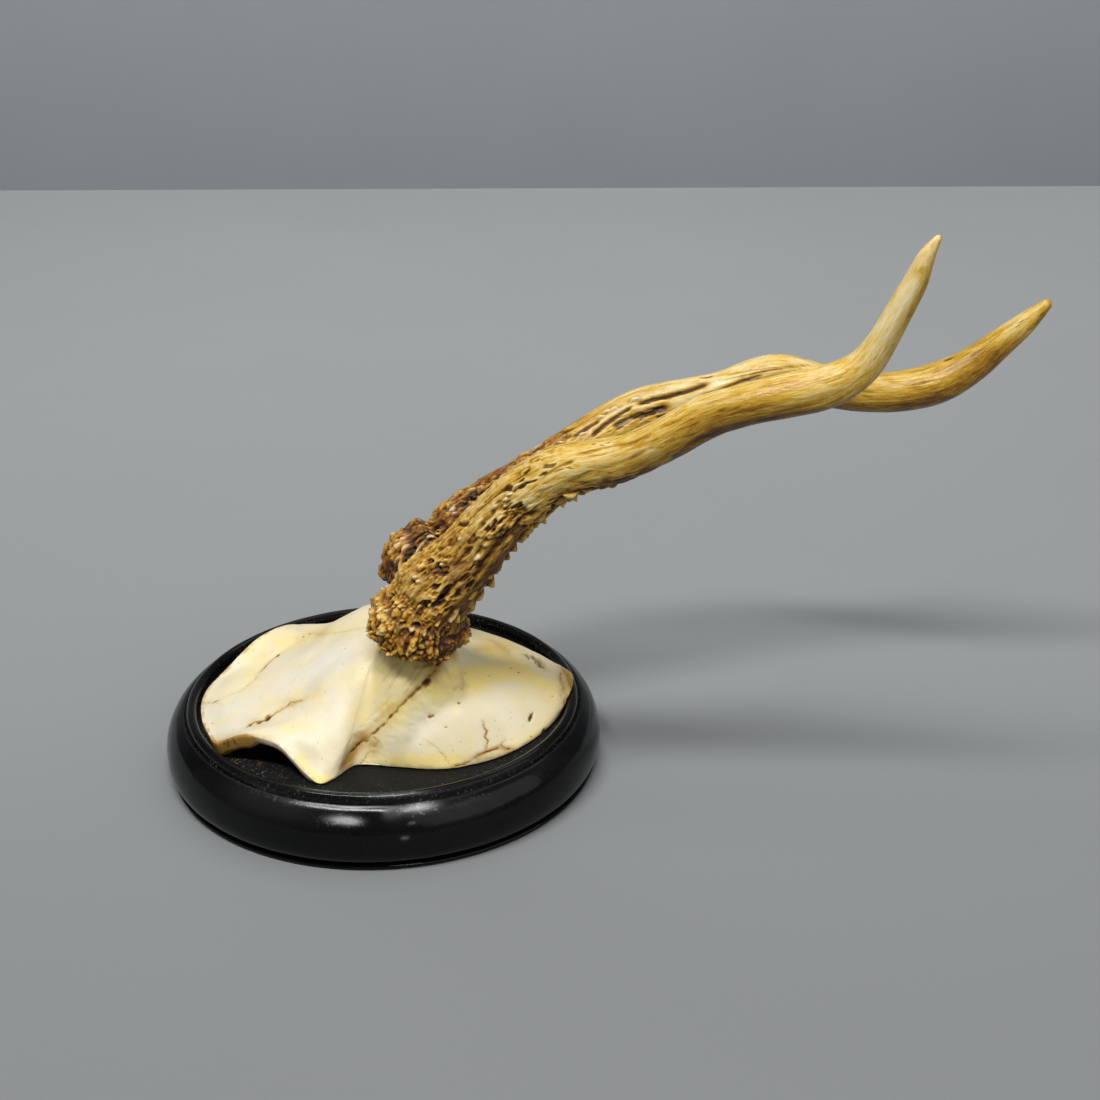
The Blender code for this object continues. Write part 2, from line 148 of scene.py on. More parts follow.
RIGHT_STATIONS = (
    (14.1, 15.6, 53.3, 14.3), (20.5, 17.7, 58.0, 11.0), (26.2, 19.6, 62.7, 9.7),
    (31.4, 21.3, 66.7, 8.8), (37.0, 22.9, 70.4, 8.3), (41.7, 24.1, 73.0, 8.0),
    (51.0, 26.3, 77.9, 7.8), (60.1, 28.3, 83.4, 7.6), (71.8, 31.0, 90.1, 7.2),
    (79.3, 32.4, 92.7, 6.9), (88.2, 33.8, 94.1, 6.6), (95.4, 34.4, 95.3, 6.3),
    (102.4, 34.6, 97.2, 6.2), (110.0, 34.6, 100.6, 6.0), (116.8, 34.4, 101.8, 6.0),
    (124.1, 34.1, 100.1, 5.9), (134.0, 33.8, 97.2, 5.8), (145.6, 33.3, 96.1, 5.7),
    (154.2, 32.8, 96.9, 5.9), (162.5, 32.2, 99.3, 6.0), (170.7, 31.4, 104.3, 5.2),
    (178.4, 30.2, 111.4, 4.0), (185.4, 28.8, 118.4, 3.0), (190.4, 27.9, 123.9, 1.5),
)


# ---- numeric helpers --------------------------------------------------------

def smooth01(t):
    t = np.clip(t, 0.0, 1.0)
    return t * t * (3.0 - 2.0 * t)


def smax(a, b, k):
    return k * np.logaddexp(a / k, b / k)


def lattice(ix, iy, iz, seed):
    """A fixed pseudo-random value from 0 to 1 for each lattice point."""
    h = (ix * 374761393 + iy * 668265263 + iz * 1440662683 + seed * 974711 + 12345) & 0xFFFFFFFF
    h = ((h ^ (h >> 13)) * 1274126177) & 0xFFFFFFFF
    h = ((h ^ (h >> 16)) * 2246822519) & 0xFFFFFFFF
    return ((h ^ (h >> 15)) & 0xFFFFFF) / float(0xFFFFFF)


def noise(p, seed=0):
    """Smooth noise from -1 to 1 at points (n, 3)."""
    base = np.floor(p)
    f = p - base
    f = f * f * f * (f * (f * 6 - 15) + 10)
    i = base.astype(np.int64)
    out = np.zeros(len(p))
    for dx in (0, 1):
        wx = f[:, 0] if dx else 1 - f[:, 0]
        for dy in (0, 1):
            wy = f[:, 1] if dy else 1 - f[:, 1]
            for dz in (0, 1):
                wz = f[:, 2] if dz else 1 - f[:, 2]
                out += wx * wy * wz * lattice(i[:, 0] + dx, i[:, 1] + dy, i[:, 2] + dz, seed)
    return out * 2 - 1


def fbm(p, octaves=4, seed=0, gain=0.5):
    total, size, norm = np.zeros(len(p)), 1.0, 0.0
    for k in range(octaves):
        total += size * noise(p * 2.03 ** k + 17.3 * k, seed + k)
        norm += size
        size *= gain
    return total / norm


def cells(p, seed=0):
    """Distances to the nearest and second nearest scattered points."""
    base = np.floor(p).astype(np.int64)
    first = np.full(len(p), 9.0)
    second = np.full(len(p), 9.0)
    for dx in (-1, 0, 1):
        for dy in (-1, 0, 1):
            for dz in (-1, 0, 1):
                c = base + (dx, dy, dz)
                q = np.stack([c[:, k] + 0.1 + 0.8 * lattice(c[:, 0], c[:, 1], c[:, 2], seed + 31 * k)
                              for k in range(3)], 1)
                d = np.linalg.norm(q - p, axis=1)
                second = np.minimum(second, np.maximum(first, d))
                first = np.minimum(first, d)
    return first, second


def catmull(points, count=None, closed=False, steps=24):
    """Smooth curve through points; evenly spaced if a count is given."""
    p = np.array(points, float)
    p = np.vstack([p[-1:], p, p[:2]]) if closed else np.vstack([2 * p[0] - p[1], p, 2 * p[-1] - p[-2]])
    t = np.linspace(0.0, 1.0, steps, endpoint=False)[:, None]
    fine = []
    for a, b, c, d in zip(p, p[1:], p[2:], p[3:]):
        fine.append(0.5 * (2 * b + (c - a) * t + (2 * a - 5 * b + 4 * c - d) * t ** 2
                           + (3 * b - a - 3 * c + d) * t ** 3))
    fine = np.vstack(fine + ([fine[0][:1]] if closed else [p[-2:-1]]))
    if count is None:
        return fine
    run = run_of(fine)
    want = np.linspace(0.0, run[-1], count, endpoint=not closed)
    return np.stack([np.interp(want, run, fine[:, k]) for k in range(fine.shape[1])], 1)


def run_of(p):
    return np.r_[0.0, np.cumsum(np.linalg.norm(np.diff(p[:, :3], axis=0), axis=1))]


def soften(values, sigma_rows, axis=0, wrap=False):
    """Gaussian blur along one axis of a grid."""
    n = max(1, int(math.ceil(sigma_rows * 2.5)))
    k = np.exp(-0.5 * (np.arange(-n, n + 1) / max(sigma_rows, 1e-6)) ** 2)
    k /= k.sum()
    v = np.moveaxis(values, axis, 0)
    v = np.concatenate([v[-n:], v, v[:n]]) if wrap else np.concatenate(
        [np.repeat(v[:1], n, 0), v, np.repeat(v[-1:], n, 0)])
    out = sum(w * v[i:i + len(values if axis == 0 else np.moveaxis(values, axis, 0))]
              for i, w in enumerate(k))
    return np.moveaxis(out, 0, axis)


def grid_normals(p):
    """Outward-looking normals of a closed-round grid (rows, columns, 3)."""
    along = np.gradient(p, axis=0)
    around = (np.roll(p, -1, axis=1) - np.roll(p, 1, axis=1))
    n = np.cross(around, along)
    length = np.linalg.norm(n, axis=2, keepdims=True)
    return n / np.maximum(length, 1e-9)


def grid_mesh(name, p, first=None, last=None, attributes=None):
    """Closed mesh over a grid of rings, in mm, with a point at each end."""
    rows, cols, _ = p.shape
    verts = [p.reshape(-1, 3)]
    a = np.arange(rows * cols).reshape(rows, cols)
    b = np.roll(a, -1, axis=1)
    quads = np.stack([a[:-1], b[:-1], b[1:], a[1:]], -1).reshape(-1, 4)
    tris = []
    extra = 0
    for ring, point, flip in ((0, first, True), (rows - 1, last, False)):
        if point is None:
            point = p[ring].mean(0)
        verts.append(np.array(point, float).reshape(1, 3))
        top = rows * cols + extra
        extra += 1
        t = np.stack([a[ring], b[ring], np.full(cols, top)], -1)
        tris.append(t[:, ::-1] if flip else t)
    verts = np.vstack(verts) * MM
    tris = np.vstack(tris)
    mesh = bpy.data.meshes.new(name)
    mesh.vertices.add(len(verts))
    mesh.vertices.foreach_set("co", verts.astype(np.float32).ravel())
    loops = np.concatenate([quads.ravel(), tris.ravel()])
    sizes = np.concatenate([np.full(len(quads), 4), np.full(len(tris), 3)])
    mesh.loops.add(len(loops))
    mesh.loops.foreach_set("vertex_index", loops.astype(np.int32))
    mesh.polygons.add(len(sizes))
    mesh.polygons.foreach_set("loop_start", np.r_[0, np.cumsum(sizes)[:-1]].astype(np.int32))
    mesh.update(calc_edges=True)
    mesh.validate()
    volume = signed_volume(verts, quads, tris)
    if volume < 0:
        mesh.flip_normals()
    mesh.polygons.foreach_set("use_smooth", np.ones(len(mesh.polygons), bool))
    for key, values in (attributes or {}).items():
        v = np.asarray(values, float)
        if v.ndim == 3:
            layer = mesh.attributes.new(key, "FLOAT_VECTOR", "POINT")
            flat = np.vstack([v.reshape(-1, 3), v[0].mean(0)[None], v[-1].mean(0)[None]])
            layer.data.foreach_set("vector", flat.astype(np.float32).ravel())
        else:
            layer = mesh.attributes.new(key, "FLOAT", "POINT")
            flat = np.r_[v.ravel(), v[0].mean(), v[-1].mean()]
            layer.data.foreach_set("value", flat.astype(np.float32))
    mesh.update()
    obj = bpy.data.objects.new(name, mesh)
    bpy.context.scene.collection.objects.link(obj)
    return obj


def signed_volume(v, quads, tris):
    t = np.vstack([quads[:, [0, 1, 2]], quads[:, [0, 2, 3]], tris])
    a, b, c = v[t[:, 0]], v[t[:, 1]], v[t[:, 2]]
    return float(np.einsum("ij,ij->i", a, np.cross(b, c)).sum() / 6)


def line_distance(points, line):
    """Distance from each point to a broken line, and where along it."""
    best = np.full(len(points), 1e9)
    where = np.zeros(len(points))
    run = run_of(line)
    for a, b, r in zip(line, line[1:], run):
        ab = b - a
        length2 = max(float(ab @ ab), 1e-9)
        t = np.clip(((points - a) @ ab) / length2, 0, 1)
        d = np.linalg.norm(points - (a + t[:, None] * ab), axis=1)
        closer = d < best
        best[closer] = d[closer]
        where[closer] = r + t[closer] * math.sqrt(length2)
    return best, where / max(run[-1], 1e-9)


# ---- materials ---------------------------------------------------------------

class Nodes:
    """Short hand for building a node tree."""

    def __init__(self, name):
        self.mat = bpy.data.materials.new(name)
        self.mat.use_nodes = True
        self.tree = self.mat.node_tree
        self.shader = self.tree.nodes["Principled BSDF"]

    def new(self, kind, **settings):
        node = self.tree.nodes.new(kind)
        for key, value in settings.items():
            setattr(node, key, value)
        return node

    def link(self, out, socket):
        self.tree.links.new(out, socket)

    def put(self, socket, value):
        if hasattr(value, "is_linked") or hasattr(value, "links"):
            self.link(value, socket)
        else:
            socket.default_value = value

    def attribute(self, name, vector=False):
        node = self.new("ShaderNodeAttribute", attribute_name=name)
        return node.outputs["Vector" if vector else "Fac"]

    def coordinates(self):
        return self.new("ShaderNodeTexCoord").outputs["Object"]

    def scaled(self, vector, scale):
        node = self.new("ShaderNodeMapping")
        node.inputs["Scale"].default_value = scale
        self.link(vector, node.inputs["Vector"])
        return node.outputs["Vector"]

    def texture(self, vector, scale, detail=4.0, roughness=0.55, distortion=0.0):
        node = self.new("ShaderNodeTexNoise")
        node.inputs["Scale"].default_value = scale
        node.inputs["Detail"].default_value = detail
        node.inputs["Roughness"].default_value = roughness
        node.inputs["Distortion"].default_value = distortion
        self.link(vector, node.inputs["Vector"])
        return node.outputs["Fac"]

    def voronoi(self, vector, scale, feature="F1", output="Distance", randomness=1.0):
        node = self.new("ShaderNodeTexVoronoi", feature=feature)
        node.inputs["Scale"].default_value = scale
        node.inputs["Randomness"].default_value = randomness
        self.link(vector, node.inputs["Vector"])
        return node.outputs[output]

    def math(self, operation, a, b=0.0, clamp=False):
        node = self.new("ShaderNodeMath", operation=operation, use_clamp=clamp)
        self.put(node.inputs[0], a)
        self.put(node.inputs[1], b)
        return node.outputs[0]

    def span(self, value, a, b, to=(0.0, 1.0)):
        node = self.new("ShaderNodeMapRange", clamp=True, interpolation_type="SMOOTHSTEP")
        self.put(node.inputs["Value"], value)
        node.inputs["From Min"].default_value = a
        node.inputs["From Max"].default_value = b
        node.inputs["To Min"].default_value = to[0]
        node.inputs["To Max"].default_value = to[1]
        return node.outputs["Result"]

    def ramp(self, value, stops):
        node = self.new("ShaderNodeValToRGB")
        self.put(node.inputs["Fac"], value)
        ramp = node.color_ramp
        while len(ramp.elements) < len(stops):
            ramp.elements.new(0.5)
        for element, (place, colour) in zip(ramp.elements, stops):
            element.position = place
            element.color = (*colour, 1.0)
        return node.outputs["Color"]

    def mix(self, fac, a, b, blend="MIX"):
        node = self.new("ShaderNodeMix", data_type="RGBA", blend_type=blend)
        node.clamp_factor = True
        self.put(node.inputs[0], fac)
        for socket, value in ((node.inputs[6], a), (node.inputs[7], b)):
            if isinstance(value, tuple):
                socket.default_value = (*value, 1.0)
            else:
                self.link(value, socket)
        return node.outputs[2]

    def bump(self, height, distance, strength=1.0, under=None):
        node = self.new("ShaderNodeBump")
        node.inputs["Strength"].default_value = strength
        node.inputs["Distance"].default_value = distance
        self.link(height, node.inputs["Height"])
        if under is not None:
            self.link(under, node.inputs["Normal"])
        return node.outputs["Normal"]

    def finish(self, colour, roughness, normal=None, **settings):
        self.link(colour, self.shader.inputs["Base Color"])
        self.put(self.shader.inputs["Roughness"], roughness)
        if normal is not None:
            self.link(normal, self.shader.inputs["Normal"])
        for key, value in settings.items():
            self.shader.inputs[key].default_value = value
        return self.mat


def wood_material():
    """Black polished wood, dulled by dust and fine scratches, with light grey painted highlights where its rim is
    scuffed.
    """
    n = Nodes("ebonised_wood_finish")
    at = n.coordinates()
    grain = n.texture(n.scaled(at, (40.0, 320.0, 320.0)), 1.0, 5.0, 0.6)
    cloud = n.texture(at, 45.0, 4.0, 0.6)
    fine = n.texture(at, 900.0, 3.0, 0.65)
    tint = n.ramp(cloud, ((0.3, (0.0016, 0.0019, 0.0024)), (0.7, (0.0034, 0.0036, 0.0042))))
    tint = n.mix(n.span(grain, 0.52, 0.78, (0.0, 0.5)), tint, (0.007, 0.005, 0.004))
    dust = n.attribute("dust")
    specks = n.span(n.texture(at, 1500.0, 2.0, 0.7), 0.60, 0.72)
    film = n.math("MULTIPLY", dust, n.span(n.texture(at, 260.0, 5.0, 0.7), 0.35, 0.7), clamp=True)
    tint = n.mix(n.math("MULTIPLY", film, 0.06), tint, (0.09, 0.065, 0.04))
    tint = n.mix(n.math("MULTIPLY", n.math("MULTIPLY", dust, specks), 0.85, clamp=True),
                 tint, (0.34, 0.27, 0.18))
    stray = n.span(n.voronoi(at, 210.0), 0.035, 0.012)
    pick = n.span(n.voronoi(at, 210.0, output="Color"), 0.62, 0.66)
    stray = n.math("MULTIPLY", n.math("MULTIPLY", stray, pick), 0.55)
    tint = n.mix(stray, tint, (0.30, 0.30, 0.29))
    tint = n.mix(n.attribute("wear"), tint, (0.016, 0.015, 0.016))
    scuff_and_painted_highlight = n.attribute("scuff_and_painted_highlight")
    dull = n.attribute("dull")
    tint = n.mix(dull, tint, (0.020, 0.020, 0.022))
    # where the rim is scuffed it gets light grey specks and a pale centre: painted highlights standing in for the
    # lamps' reflection, as well as wear
    chips = n.span(n.texture(at, 950.0, 4.0, 0.75), 0.57, 0.66)
    tint = n.mix(n.math("MULTIPLY", n.math("MULTIPLY", scuff_and_painted_highlight, chips), 0.85, clamp=True),
                 tint, (0.50, 0.51, 0.53))
    tint = n.mix(n.math("MULTIPLY", n.math("POWER", scuff_and_painted_highlight, 2.0), 0.75, clamp=True), tint, (0.46, 0.47, 0.49))
    rough = n.span(cloud, 0.25, 0.75, (0.05, 0.10))
    rough = n.math("ADD", rough, n.math("MULTIPLY", fine, 0.05))
    rough = n.math("ADD", rough, n.math("MULTIPLY", dust, 0.22), clamp=True)
    rough = n.math("ADD", rough, n.math("MULTIPLY", dull, 0.30), clamp=True)
    rough = n.math("ADD", rough, n.math("MULTIPLY", scuff_and_painted_highlight, 0.14), clamp=True)
    rough = n.math("ADD", rough, n.math("MULTIPLY", n.attribute("matt"), 0.50), clamp=True)
    normal = n.bump(fine, 0.00004, 0.5)
    normal = n.bump(grain, 0.00006, 0.45, normal)
    return n.finish(tint, rough, normal, **{"Specular IOR Level": 0.27, "IOR": 1.42})


def bone_material():
    """Old cream bone: pores, hairlines, brown sutures and yellow staining."""
    n = Nodes("old_bone")
    at = n.coordinates()
    broad = n.texture(at, 38.0, 4.0, 0.6)
    mid = n.texture(at, 140.0, 5.0, 0.6)
    fine = n.texture(at, 900.0, 4.0, 0.7)
    colour = n.ramp(broad, ((0.30, (0.735, 0.645, 0.425)), (0.5, (0.77, 0.70, 0.52)),
                            (0.70, (0.80, 0.75, 0.61))))
    colour = n.mix(n.span(mid, 0.5, 0.75, (0.0, 0.25)), colour, (0.76, 0.64, 0.34))
    # pale, yellow and tan are the bone's own staining, except that pale lightens the braincase as painted light, and
    # tan and yellow darken the bone under the near burr as painted shading and beside the near beam as painted shadow
    colour = n.mix(n.attribute("pale"), colour, (0.84, 0.80, 0.70))
    colour = n.mix(n.attribute("yellow"), colour, (0.88, 0.71, 0.26))
    colour = n.mix(n.attribute("tan"), colour, (0.43, 0.25, 0.050))
    pores = n.span(n.voronoi(at, 620.0), 0.20, 0.06)
    few = n.span(n.voronoi(at, 620.0, output="Color"), 0.70, 0.74)
    pores = n.math("MULTIPLY", n.math("MULTIPLY", pores, few), 0.45)
    colour = n.mix(pores, colour, (0.20, 0.12, 0.05))
    colour = n.mix(n.span(n.attribute("crack"), 0.06, 0.42), colour, (0.36, 0.19, 0.030))
    colour = n.mix(n.span(n.attribute("crack"), 0.30, 0.70), colour, (0.060, 0.024, 0.008))
    # dark is the broken hole's colour, and also painted shading on the brightest lit brow
    colour = n.mix(n.attribute("dark"), colour, (0.012, 0.009, 0.007))
    rough = n.span(mid, 0.3, 0.7, (0.40, 0.55))
    rough = n.math("ADD", rough, n.math("MULTIPLY", n.attribute("crack"), 0.25), clamp=True)
    normal = n.bump(fine, 0.00005, 0.5)
    normal = n.bump(mid, 0.00025, 0.35, normal)
    mat = n.finish(colour, rough, normal, **{"Specular IOR Level": 0.42})
    n.shader.inputs["Subsurface Weight"].default_value = 0.10
    n.shader.inputs["Subsurface Radius"].default_value = (1.0, 0.55, 0.25)
    n.shader.inputs["Subsurface Scale"].default_value = 0.0015
    return mat


def antler_material():
    """Antler: tan polished crests, dark pits and furrows, brown streaks, painted shading on the undersides and
    painted highlight on upper crests and tips.
    """
    n = Nodes("antler_finish")
    at = n.coordinates()
    grain = n.attribute("grain", vector=True)
    streak = n.texture(grain, 1.0, 5.0, 0.65, 0.2)
    thin = n.texture(n.scaled(grain, (3.8, 3.8, 5.5)), 1.0, 4.0, 0.72)
    blot = n.texture(at, 120.0, 5.0, 0.65, 0.4)
    speck = n.texture(at, 800.0, 4.0, 0.7)
    height = n.attribute("height")
    stain_and_painted_light = n.attribute("stain_and_painted_light")
    tone = n.math("ADD", height, n.math("MULTIPLY", n.math("SUBTRACT", blot, 0.5), 0.55))
    tone = n.math("ADD", tone, n.math("MULTIPLY", n.math("SUBTRACT", speck, 0.5), 0.60))
    tone = n.math("ADD", tone, n.math("MULTIPLY", n.math("SUBTRACT", thin, 0.5), 0.85))
    tone = n.math("ADD", tone, n.math("MULTIPLY", n.math("SUBTRACT", streak, 0.5), 0.32))
    # darker where stained and, as painted shading, on the undersides; paler on upper crests and tips as a painted
    # highlight
    tone = n.math("SUBTRACT", tone, n.math("MULTIPLY", n.math("ADD", stain_and_painted_light, 0.08), 0.28), clamp=True)
    rough_skin = n.ramp(tone, (
        (0.04, (0.018, 0.007, 0.003)), (0.18, (0.070, 0.026, 0.005)),
        (0.32, (0.20, 0.082, 0.008)), (0.46, (0.38, 0.175, 0.013)),
        (0.62, (0.55, 0.295, 0.027)), (0.80, (0.70, 0.445, 0.080)), (1.0, (0.86, 0.69, 0.32))))
    smooth_tone = n.math("ADD", n.math("MULTIPLY", streak, 0.34), n.math("MULTIPLY", thin, 0.46))
    smooth_tone = n.math("ADD", smooth_tone, n.math("MULTIPLY", blot, 0.22))
    # the same painted shading and painted highlight darken and lighten the smooth skin
    smooth_tone = n.math("SUBTRACT", smooth_tone, n.math("MULTIPLY", stain_and_painted_light, 0.20))
    smooth_tone = n.math("ADD", smooth_tone,
                         n.math("MULTIPLY", n.math("SUBTRACT", height, 0.52), 0.50), clamp=True)
    smooth_skin = n.ramp(smooth_tone, (
        (0.20, (0.055, 0.021, 0.004)), (0.31, (0.20, 0.090, 0.009)),
        (0.40, (0.41, 0.215, 0.018)), (0.50, (0.61, 0.385, 0.048)), (0.64, (0.79, 0.62, 0.27)),
        (0.82, (0.90, 0.79, 0.53))))
    colour = n.mix(n.attribute("rough"), smooth_skin, rough_skin)
    ruddy = n.math("MULTIPLY", n.attribute("ruddy"), n.span(blot, 0.40, 0.65), clamp=True)
    colour = n.mix(ruddy, colour, (0.20, 0.062, 0.011))
    colour = n.mix(n.attribute("white"), colour, (0.90, 0.80, 0.60))
    colour = n.mix(n.attribute("dark"), colour, (0.024, 0.010, 0.006))
    gloss = n.math("ADD", n.math("MULTIPLY", n.attribute("rough"), 0.24), 0.27)
    gloss = n.math("SUBTRACT", gloss, n.math("MULTIPLY", n.math("SUBTRACT", height, 0.5), 0.16))
    gloss = n.math("ADD", gloss, n.math("MULTIPLY", n.math("SUBTRACT", speck, 0.5), 0.25), clamp=True)
    normal = n.bump(speck, 0.00008, 0.5)
    normal = n.bump(thin, 0.00018, 0.5, normal)
    return n.finish(colour, gloss, normal, **{"Specular IOR Level": 0.34})


# ---- base ---------------------------------------------------------------------

def rounded(points, radius, steps=5):
    """Broken line with its corners rounded."""
    p = [np.array(q, float) for q in points]
    out = [p[0]]
    for a, b, c in zip(p, p[1:], p[2:]):
        la, lc = np.linalg.norm(a - b), np.linalg.norm(c - b)
        r = min(radius, la * 0.45, lc * 0.45)
        s, e = b + (a - b) / la * r, b + (c - b) / lc * r
        for t in np.linspace(0, 1, steps + 1):
            out.append((1 - t) ** 2 * s + 2 * t * (1 - t) * b + t * t * e)
    out.append(p[-1])
    return np.array(out)


def base_outline():
    pts = [(0.5, 0.0), (FOOT_R - 0.4, 0.0), (FOOT_R, 0.45), (FOOT_R, FOOT_H - 0.15),
           (FOOT_GROOVE_R + 0.15, FOOT_GROOVE_Z - 0.25), (FOOT_GROOVE_R + 0.15, FOOT_GROOVE_Z)]
    for k in range(1, 13):
        a = math.pi / 2 * k / 12
        pts.append((FOOT_GROOVE_R + (BASE_R - FOOT_GROOVE_R) * math.sin(a) ** 0.8,
                    FOOT_GROOVE_Z + (BASE_WIDE_Z - FOOT_GROOVE_Z) * (1 - math.cos(a))))
    for k in range(1, 29):
        a = math.radians(20.0 + 70.0 * (1 - k / 28))
        pts.append((BASE_R - SIDE_IN * (1 - math.sin(a)), BASE_WIDE_Z + SIDE_UP * math.cos(a)))
    pts += [(GROOVE_R + 0.45, BASE_H - 0.02), (GROOVE_R + 0.12, BASE_H - 0.25), (GROOVE_R, GROOVE_Z)]
    for k in range(0, 15):
        a = math.pi * k / 14
        pts.append((BEAD_R + BEAD_HALF_WIDTH * math.cos(a), BEAD_Z + BEAD_RISE * math.sin(a)))
    pts += [(RECESS_R + 0.05, RECESS_Z + 0.5), (RECESS_R - 0.4, RECESS_Z)]
    pts += [(r, RECESS_Z) for r in (51.0, 48.0, 44.0, 39.0, 33.0, 26.0, 18.0, 10.0, 4.0, 0.5)]
    return rounded(pts, 0.35, 2)


# places of wear on the rim, and painted highlights where the lamps reflect in it,
# as drawn on the picture: attribute, place, half length along the rim and half width in mm, strength
BASE_WEAR_AND_PAINTED_HIGHLIGHTS = (
    # the scuffed places sit on the rim's highlights and paint them in light grey, as well as wear; the dull places
    # are matt patches
    ("scuff_and_painted_highlight", 342, 820, 4.6, 1.3, 1.0), ("scuff_and_painted_highlight", 352, 822, 2.6, 1.0, 0.6), ("scuff_and_painted_highlight", 420, 807, 5.0, 1.6, 1.0),
    ("scuff_and_painted_highlight", 328, 805, 9.0, 0.55, 0.80), ("scuff_and_painted_highlight", 366, 807, 9.0, 0.5, 0.80), ("scuff_and_painted_highlight", 300, 802, 9.0, 1.0, 0.22),
    ("scuff_and_painted_highlight", 405, 838, 1.2, 0.7, 0.6), ("scuff_and_painted_highlight", 412, 823, 1.2, 0.6, 0.5), ("scuff_and_painted_highlight", 470, 800, 7.0, 1.2, 0.15),
    ("scuff_and_painted_highlight", 340, 792, 10.0, 0.8, 0.50), ("scuff_and_painted_highlight", 400, 794, 10.0, 0.8, 0.45), ("scuff_and_painted_highlight", 265, 790, 8.0, 2.0, 0.16),
    ("dull", 395, 813, 2.5, 2.0, 1.0), ("dull", 388, 817, 1.6, 1.0, 0.6), ("dull", 250, 800, 10.0, 4.0, 0.45),
    ("dull", 292, 812, 8.0, 3.0, 0.35), ("dull", 460, 812, 10.0, 3.0, 0.25), ("dull", 520, 770, 14.0, 4.0, 0.20),
)


def make_base(mat):
    outline = base_outline()
    count = 380
    angle = np.linspace(0, 2 * np.pi, count, endpoint=False)
    r = outline[:, 0][:, None] * np.ones(count)
    z = outline[:, 1][:, None] * np.ones(count)
    ring = np.stack([r * np.cos(angle), r * np.sin(angle), z], -1)
    flat = ring.reshape(-1, 3)
    # turned and hand-rubbed, so never quite true
    n = grid_normals(ring)
    wave = (fbm(flat * 0.05, 3, 5) * 0.10 + noise(flat * 0.22, 9) * 0.035).reshape(r.shape)
    keep = smooth01((z - 0.3) / 2.0) * smooth01((62.6 - r) / 0.2 + 0.6)
    p = ring + n * (wave * keep)[..., None] * np.sign((n[..., 2:] + 1e-6) * 0 + 1)
    p[..., 2] = np.where(z <= 0.01, 0.0, p[..., 2])
    # dust lies on the sunk floor, most along its edge, and in the grooves
    floor = (np.abs(z - RECESS_Z) < 0.7) & (r < RECESS_R + 0.3)
    edge = smooth01((r - 40.0) / 11.0)
    left = 0.35 + 0.65 * smooth01((-p[..., 0] - 5.0) / 35.0)
    dust = np.where(floor, 0.05 + 0.80 * edge * left, 0.0)
    groove = np.exp(-((r - GROOVE_R) / 0.5) ** 2) * (z > 14) + np.exp(-((r - RECESS_R) / 0.8) ** 2) * (z > 14) * 0.9
    dust = np.maximum(dust, groove * 0.45) + 0.03
    patch = smooth01(noise(flat * 0.06, 21).reshape(r.shape) * 1.4 + 0.4)
    wear = 0.10 * patch * smooth01((z - 9) / 8)
    wear = wear + 0.35 * np.exp(-((r - (GROOVE_R + 0.7)) / 0.35) ** 2) * (z > 16)
    skin = p.reshape(-1, 3)
    tree = grid_tree(p)
    wear_and_painted_highlight = {"scuff_and_painted_highlight": np.zeros(len(skin)), "dull": np.zeros(len(skin))}
    # scuffed places carry wear and painted highlight; dull places are matt
    for kind, u, v, long, wide, strength in BASE_WEAR_AND_PAINTED_HIGHLIGHTS:
        hit = ray_hits(tree, [(u, v)])
        if not len(hit):
            continue
        rel = skin - hit[0]
        out = hit[0][:2] / np.linalg.norm(hit[0][:2])
        around = rel[:, 1] * out[0] - rel[:, 0] * out[1]
        rest = np.maximum((rel ** 2).sum(1) - around ** 2, 0)
        wear_and_painted_highlight[kind] += strength * np.exp(-(around / long) ** 2 - rest / wide ** 2)
    obj = grid_mesh("turned_base", p, (0, 0, 0), (0, 0, RECESS_Z),
                    {"dust": np.clip(dust, 0, 1), "wear": np.clip(wear, 0, 1),
                     "scuff_and_painted_highlight": np.clip(wear_and_painted_highlight["scuff_and_painted_highlight"], 0, 1).reshape(r.shape),
                     "dull": np.clip(wear_and_painted_highlight["dull"], 0, 1).reshape(r.shape),
                     "matt": floor * 1.0})
    obj.data.materials.append(mat)
    return obj


# ---- skull cap ------------------------------------------------------------------

def midline(x):
    return MIDLINE_Y + MIDLINE_BEND * np.maximum(np.asarray(x, float) - 10.0, 0.0)


def hermite_weights(knots, x):
    """For each x the four knots around it and their weights, C1 smooth."""
    n = len(knots)
    i = np.clip(np.searchsorted(knots, x) - 1, 0, n - 2)
    a, b = np.maximum(i - 1, 0), np.minimum(i + 2, n - 1)
    h = knots[i + 1] - knots[i]
    t = np.clip((x - knots[i]) / h, 0, 1)
    h00, h10 = 2 * t ** 3 - 3 * t ** 2 + 1, t ** 3 - 2 * t ** 2 + t
    h01, h11 = -2 * t ** 3 + 3 * t ** 2, t ** 3 - t ** 2
    left = h / np.maximum(knots[i + 1] - knots[a], 1e-6)
    right = h / np.maximum(knots[b] - knots[i], 1e-6)
    return (a, i, i + 1, b), (-h10 * left, h00 - h11 * right, h01 + h10 * left, h11 * right)


TABLE_X = np.array([r[0] for r in CAP_HEIGHTS], float)
TABLE_Z = np.array([r[1] for r in CAP_HEIGHTS], float)
SIDEWAYS = np.r_[-ACROSS[:0:-1], ACROSS]
TABLE_FULL = np.hstack([TABLE_Z[:, :0:-1], TABLE_Z])

FLARE_FROM, FLARE_SLOPE, FLARE_SLOPE_REAR = 10.0, 2.0, 6.0
FLARE_BELOW, FLARE_SOFT, FLARE_SOFT_REAR = 8.6, 2.4, 2.0
# small corrections to the table: x, y, height, reach along x, reach along y
SWELLS = (
    (-26.0, 25.0, 1.2, 9.0, 8.0), (22.0, -31.0, 4.6, 10.0, 6.5), (9.0, -36.0, 3.4, 8.0, 5.5),
    (32.0, -26.0, 1.0, 10.0, 8.0),
)


def burr_axis(side):
    n = np.array([BURR_LEAN, side * BURR_LEAN, 1.0])
    return n / np.linalg.norm(n)


